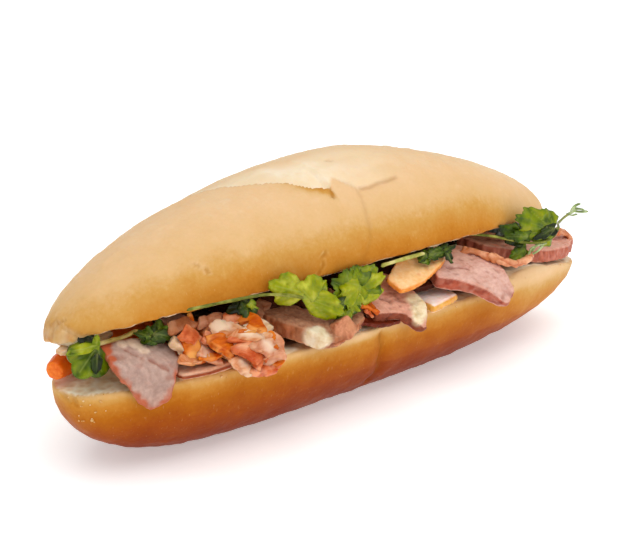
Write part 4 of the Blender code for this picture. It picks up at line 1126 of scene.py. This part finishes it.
# Stems and shoots: name, what it stands for, width, how flat it is, its material and its path.
STEMS = (
    ("stem_along_lip", ("stem_centre",), 1.1, 0.85, green_stem,
     ((-80, -28.6, 51), (-74, -29.6, 51.1), (-66, -31, 51.2), (-58, -32.4, 51.2), (-52.6, -33.6, 50.8),
      (-46, -35.2, 49.4), (-41.5, -36, 47.8))),
    ("stem_over_pork", ("stem_upper",), 1.4, 0.85, pale_stem,
     ((-3.4, -30.9, 48.8), (4.1, -31.8, 49.4), (10.9, -32, 49.5), (16.4, -31.4, 49.2))),
    ("stem_long_right", ("stem_right",), 1.05, 0.85, green_stem,
     ((43, -27.5, 50), (51.8, -30.2, 48.1), (57.7, -32.6, 46.3), (64.4, -35.4, 44.3), (71, -37.4, 43.6),
      (77.2, -37.8, 44.4), (82, -36.4, 46.4), (86, -33.2, 46.2), (92, -28.6, 45), (100.8, -24.3, 44.6),
      (105.5, -22.6, 44.6))),
    ("stem_side_branch", (), 0.9, 0.85, green_stem,
     ((77.6, -37.6, 44.6), (80.6, -36.6, 46.6), (84, -34.4, 46))),
    ("stem_tan_left", (), 1.3, 0.85, tan_stem,
     ((-104, -17, 43), (-100, -17.6, 43.4), (-96.6, -17.8, 43.4), (-93.8, -18, 43.8), (-90.4, -18.2, 44.6))),
    ("tendril_one", (), 0.9, 0.8, shoot_stem,
     ((74.6, -37.4, 42.6), (70, -37.2, 42.6), (66.1, -37.2, 42.2), (64.5, -37.4, 40.2), (63.4, -37.6, 38.4))),
    ("tendril_two", (), 0.8, 0.6, shoot_stem,
     ((72.6, -37.4, 42.4), (69, -37.6, 40.6), (65.4, -37.4, 39.9))),
    ("tendril_three", (), 0.8, 0.6, shoot_stem,
     ((70.9, -37.2, 43.2), (67.9, -37.4, 42.4), (66.4, -37.2, 40.8))),
    ("shoot_one", (), 1.5, 0.4, shoot_stem,
     ((104.8, -22.6, 44.6), (109.5, -20.8, 44.2), (113.8, -20, 44.9), (119, -20, 43.6))),
    ("shoot_two", (), 1.3, 0.4, shoot_stem,
     ((109.8, -20.6, 44.4), (113, -20, 46.1), (116.4, -20, 46.6))),
    ("shoot_three", (), 1.4, 0.4, shoot_stem,
     ((112, -20.2, 44.2), (118, -20, 42.9), (121.4, -20, 42.6))),
    ("shoot_four", (), 1, 0.5, shoot_stem,
     ((106.2, -22, 44.4), (110.6, -20.6, 42.9), (114.4, -20.2, 42.7))),
)
for i, (piece, nodes, width, flatness, material, path) in enumerate(STEMS):
    stem = ribbon(piece, path, width, width * flatness, 480 + i, square=2, sides=12, ends=0.35, swell=0.15,
                  blunt_share=0.8, crumple=0.05)
    dress(stem, material, "coriander_stem", *nodes)

# ---------------------------------------------------------------- the crumbs
# Crumbs and thin flakes of crust that the knife and the filling broke off. They cling to
# the front lip of the roll and to the crust below it.

chance = np.random.default_rng(57)
bread = BVHTree.FromPolygons([v.co.copy() for v in roll.data.vertices],
                             [tuple(p.vertices) for p in roll.data.polygons])


def crumb_at(place, size, flat, seed):
    """One crumb: a small ball, flattened and pushed about until it is ragged."""
    bpy.ops.object.select_all(action="DESELECT")
    bpy.ops.mesh.primitive_ico_sphere_add(subdivisions=2, radius=1)
    crumb_piece = bpy.context.object
    ball = np.array([tuple(v.co) for v in crumb_piece.data.vertices])
    ball *= 1 + 0.35 * lumps(ball * 2, 1.5, seed)[:, None]
    turn = Matrix.Rotation(seed * 1.7, 3, "Z") @ Matrix.Rotation(seed * 0.9, 3, "X")
    put_points(crumb_piece, ball * (1.2, 0.8, flat) @ np.array(turn) * size + place)
    return crumb_piece


# Where they cling: a span along the roll, a span of height, and how many.
CRUMB_SPOTS = ((-113, -105, 19, 30, 18), (-74, -40, 27, 31, 6), (14, 62, 27, 34, 24), (62, 100, 29, 33, 4))
loose = []
for start, end, low, high, many in CRUMB_SPOTS:
    for _ in range(many):
        where_x, where_z = chance.uniform(start, end), chance.uniform(low, high)
        ray_from = (np.array((where_x, -70, where_z)) + ROLL_AT) * MM
        hit = bread.ray_cast(Vector(ray_from), Vector((0, 1, 0)))[0]
        size, flat = chance.uniform(0.18, 0.42), chance.uniform(0.35, 0.9)
        if hit is not None:
            loose.append(crumb_at(np.array(hit) / MM - ROLL_AT + (0, -0.4 * size, 0), size, flat, len(loose)))
bpy.ops.object.select_all(action="DESELECT")
for crumb_piece in loose:
    crumb_piece.select_set(True)
bpy.context.view_layer.objects.active = loose[0]
bpy.ops.object.join()
bread_crumbs = bpy.context.object
bread_crumbs.name = "bread_crumbs"
bpy.ops.object.shade_smooth()

# Dry crumb: pale bread with some brown crust left on it, rough and matt, mottled every 1.5 mm.
dry = new_material("dry_bread_crumb")
dry_at = add_node(dry, "TexCoord")
dry_cloud = add_node(dry, "TexNoise", {"Scale": 700, "Detail": 3, "Vector": dry_at})
dry_tone = add_node(dry, "ValToRGB", {"Fac": dry_cloud}, ((0.38, "#c48c44"), (0.5, "#dcae6c"),
                                                          (0.62, "#ecd0a0")))
dry_bump = add_node(dry, "Bump", {"Strength": 0.4, "Distance": 0.0001, "Height": dry_cloud})
finish_material(dry, add_node(dry, "BsdfPrincipled", {
    "Roughness": 0.8, "Specular IOR Level": 0.15, "Base Color": dry_tone, "Normal": dry_bump}))
dress(bread_crumbs, dry, "crust")

# ---------------------------------------------------------------- table, light and camera
# The sandwich lies on a translucent white table that is lit a little from below, in soft
# studio light from above and the left.

bpy.ops.object.select_all(action="DESELECT")
bpy.ops.mesh.primitive_plane_add(size=6, location=(0, 0, 0))
table = bpy.context.object
table.name = "table"

# Opal acrylic sheet: evenly white, with hardly a shine.
white = new_material("lit_white_acrylic")
table_at = add_node(white, "TexCoord")
table_grain = add_node(white, "TexNoise", {"Scale": 30, "Detail": 2, "Vector": table_at})
table_tone = add_node(white, "ValToRGB", {"Fac": table_grain}, ((0.3, "#fbfbfb"), (0.7, "#ffffff")))
finish_material(white, add_node(white, "BsdfPrincipled", {
    "Roughness": 0.8, "Specular IOR Level": 0.2, "Emission Strength": 0.34, "Base Color": table_tone,
    "Emission Color": table_tone}))
table.data.materials.append(white)

MIDDLE = Vector((ROLL_AT[0] * MM, ROLL_AT[1] * MM, 0.04014))      # what the camera looks at
SKY_LIGHT, OVERHEAD_LIGHT, FRONT_LIGHT = 0.5, 1.56, 1.5

sky = bpy.data.worlds.new("studio_walls")
sky.use_nodes = True
sky.node_tree.nodes["Background"].inputs["Color"].default_value = (1, 1, 1, 1)
sky.node_tree.nodes["Background"].inputs["Strength"].default_value = SKY_LIGHT
bpy.context.scene.world = sky


def place_facing(name, data, place, towards):
    """Puts a light or camera in the scene at a place, facing towards a direction."""
    thing = bpy.data.objects.new(name, data)
    thing.location = place
    thing.rotation_euler = Vector(towards).to_track_quat("-Z", "Y").to_euler()
    bpy.context.scene.collection.objects.link(thing)
    return thing


diffuser = bpy.data.lights.new("overhead_diffuser", "SUN")
diffuser.energy, diffuser.angle = OVERHEAD_LIGHT, math.radians(70)
place_facing("overhead_diffuser", diffuser, (0, 0, 0), (0.05, 0.25, -1))
softbox = bpy.data.lights.new("front_softbox", "AREA")
softbox.energy, softbox.size = FRONT_LIGHT, 0.6
place_facing("front_softbox", softbox, (-0.1, -1.1, 0.45), (0.1, 1.1, -0.41))

AZIMUTH, ELEVATION, DISTANCE = math.radians(-41.94), math.radians(17.66), 0.4567
back = Vector((math.sin(AZIMUTH) * math.cos(ELEVATION), -math.cos(AZIMUTH) * math.cos(ELEVATION),
               math.sin(ELEVATION)))        # from the sandwich to the camera
lens = bpy.data.cameras.new("camera")
lens.lens, lens.sensor_width, lens.clip_start = 74.3, 36, 0.01
lens.shift_x, lens.shift_y = -0.01187, -0.01297
bpy.context.scene.camera = place_facing("camera", lens, MIDDLE + back * DISTANCE, -back)

bpy.context.view_layer.update()
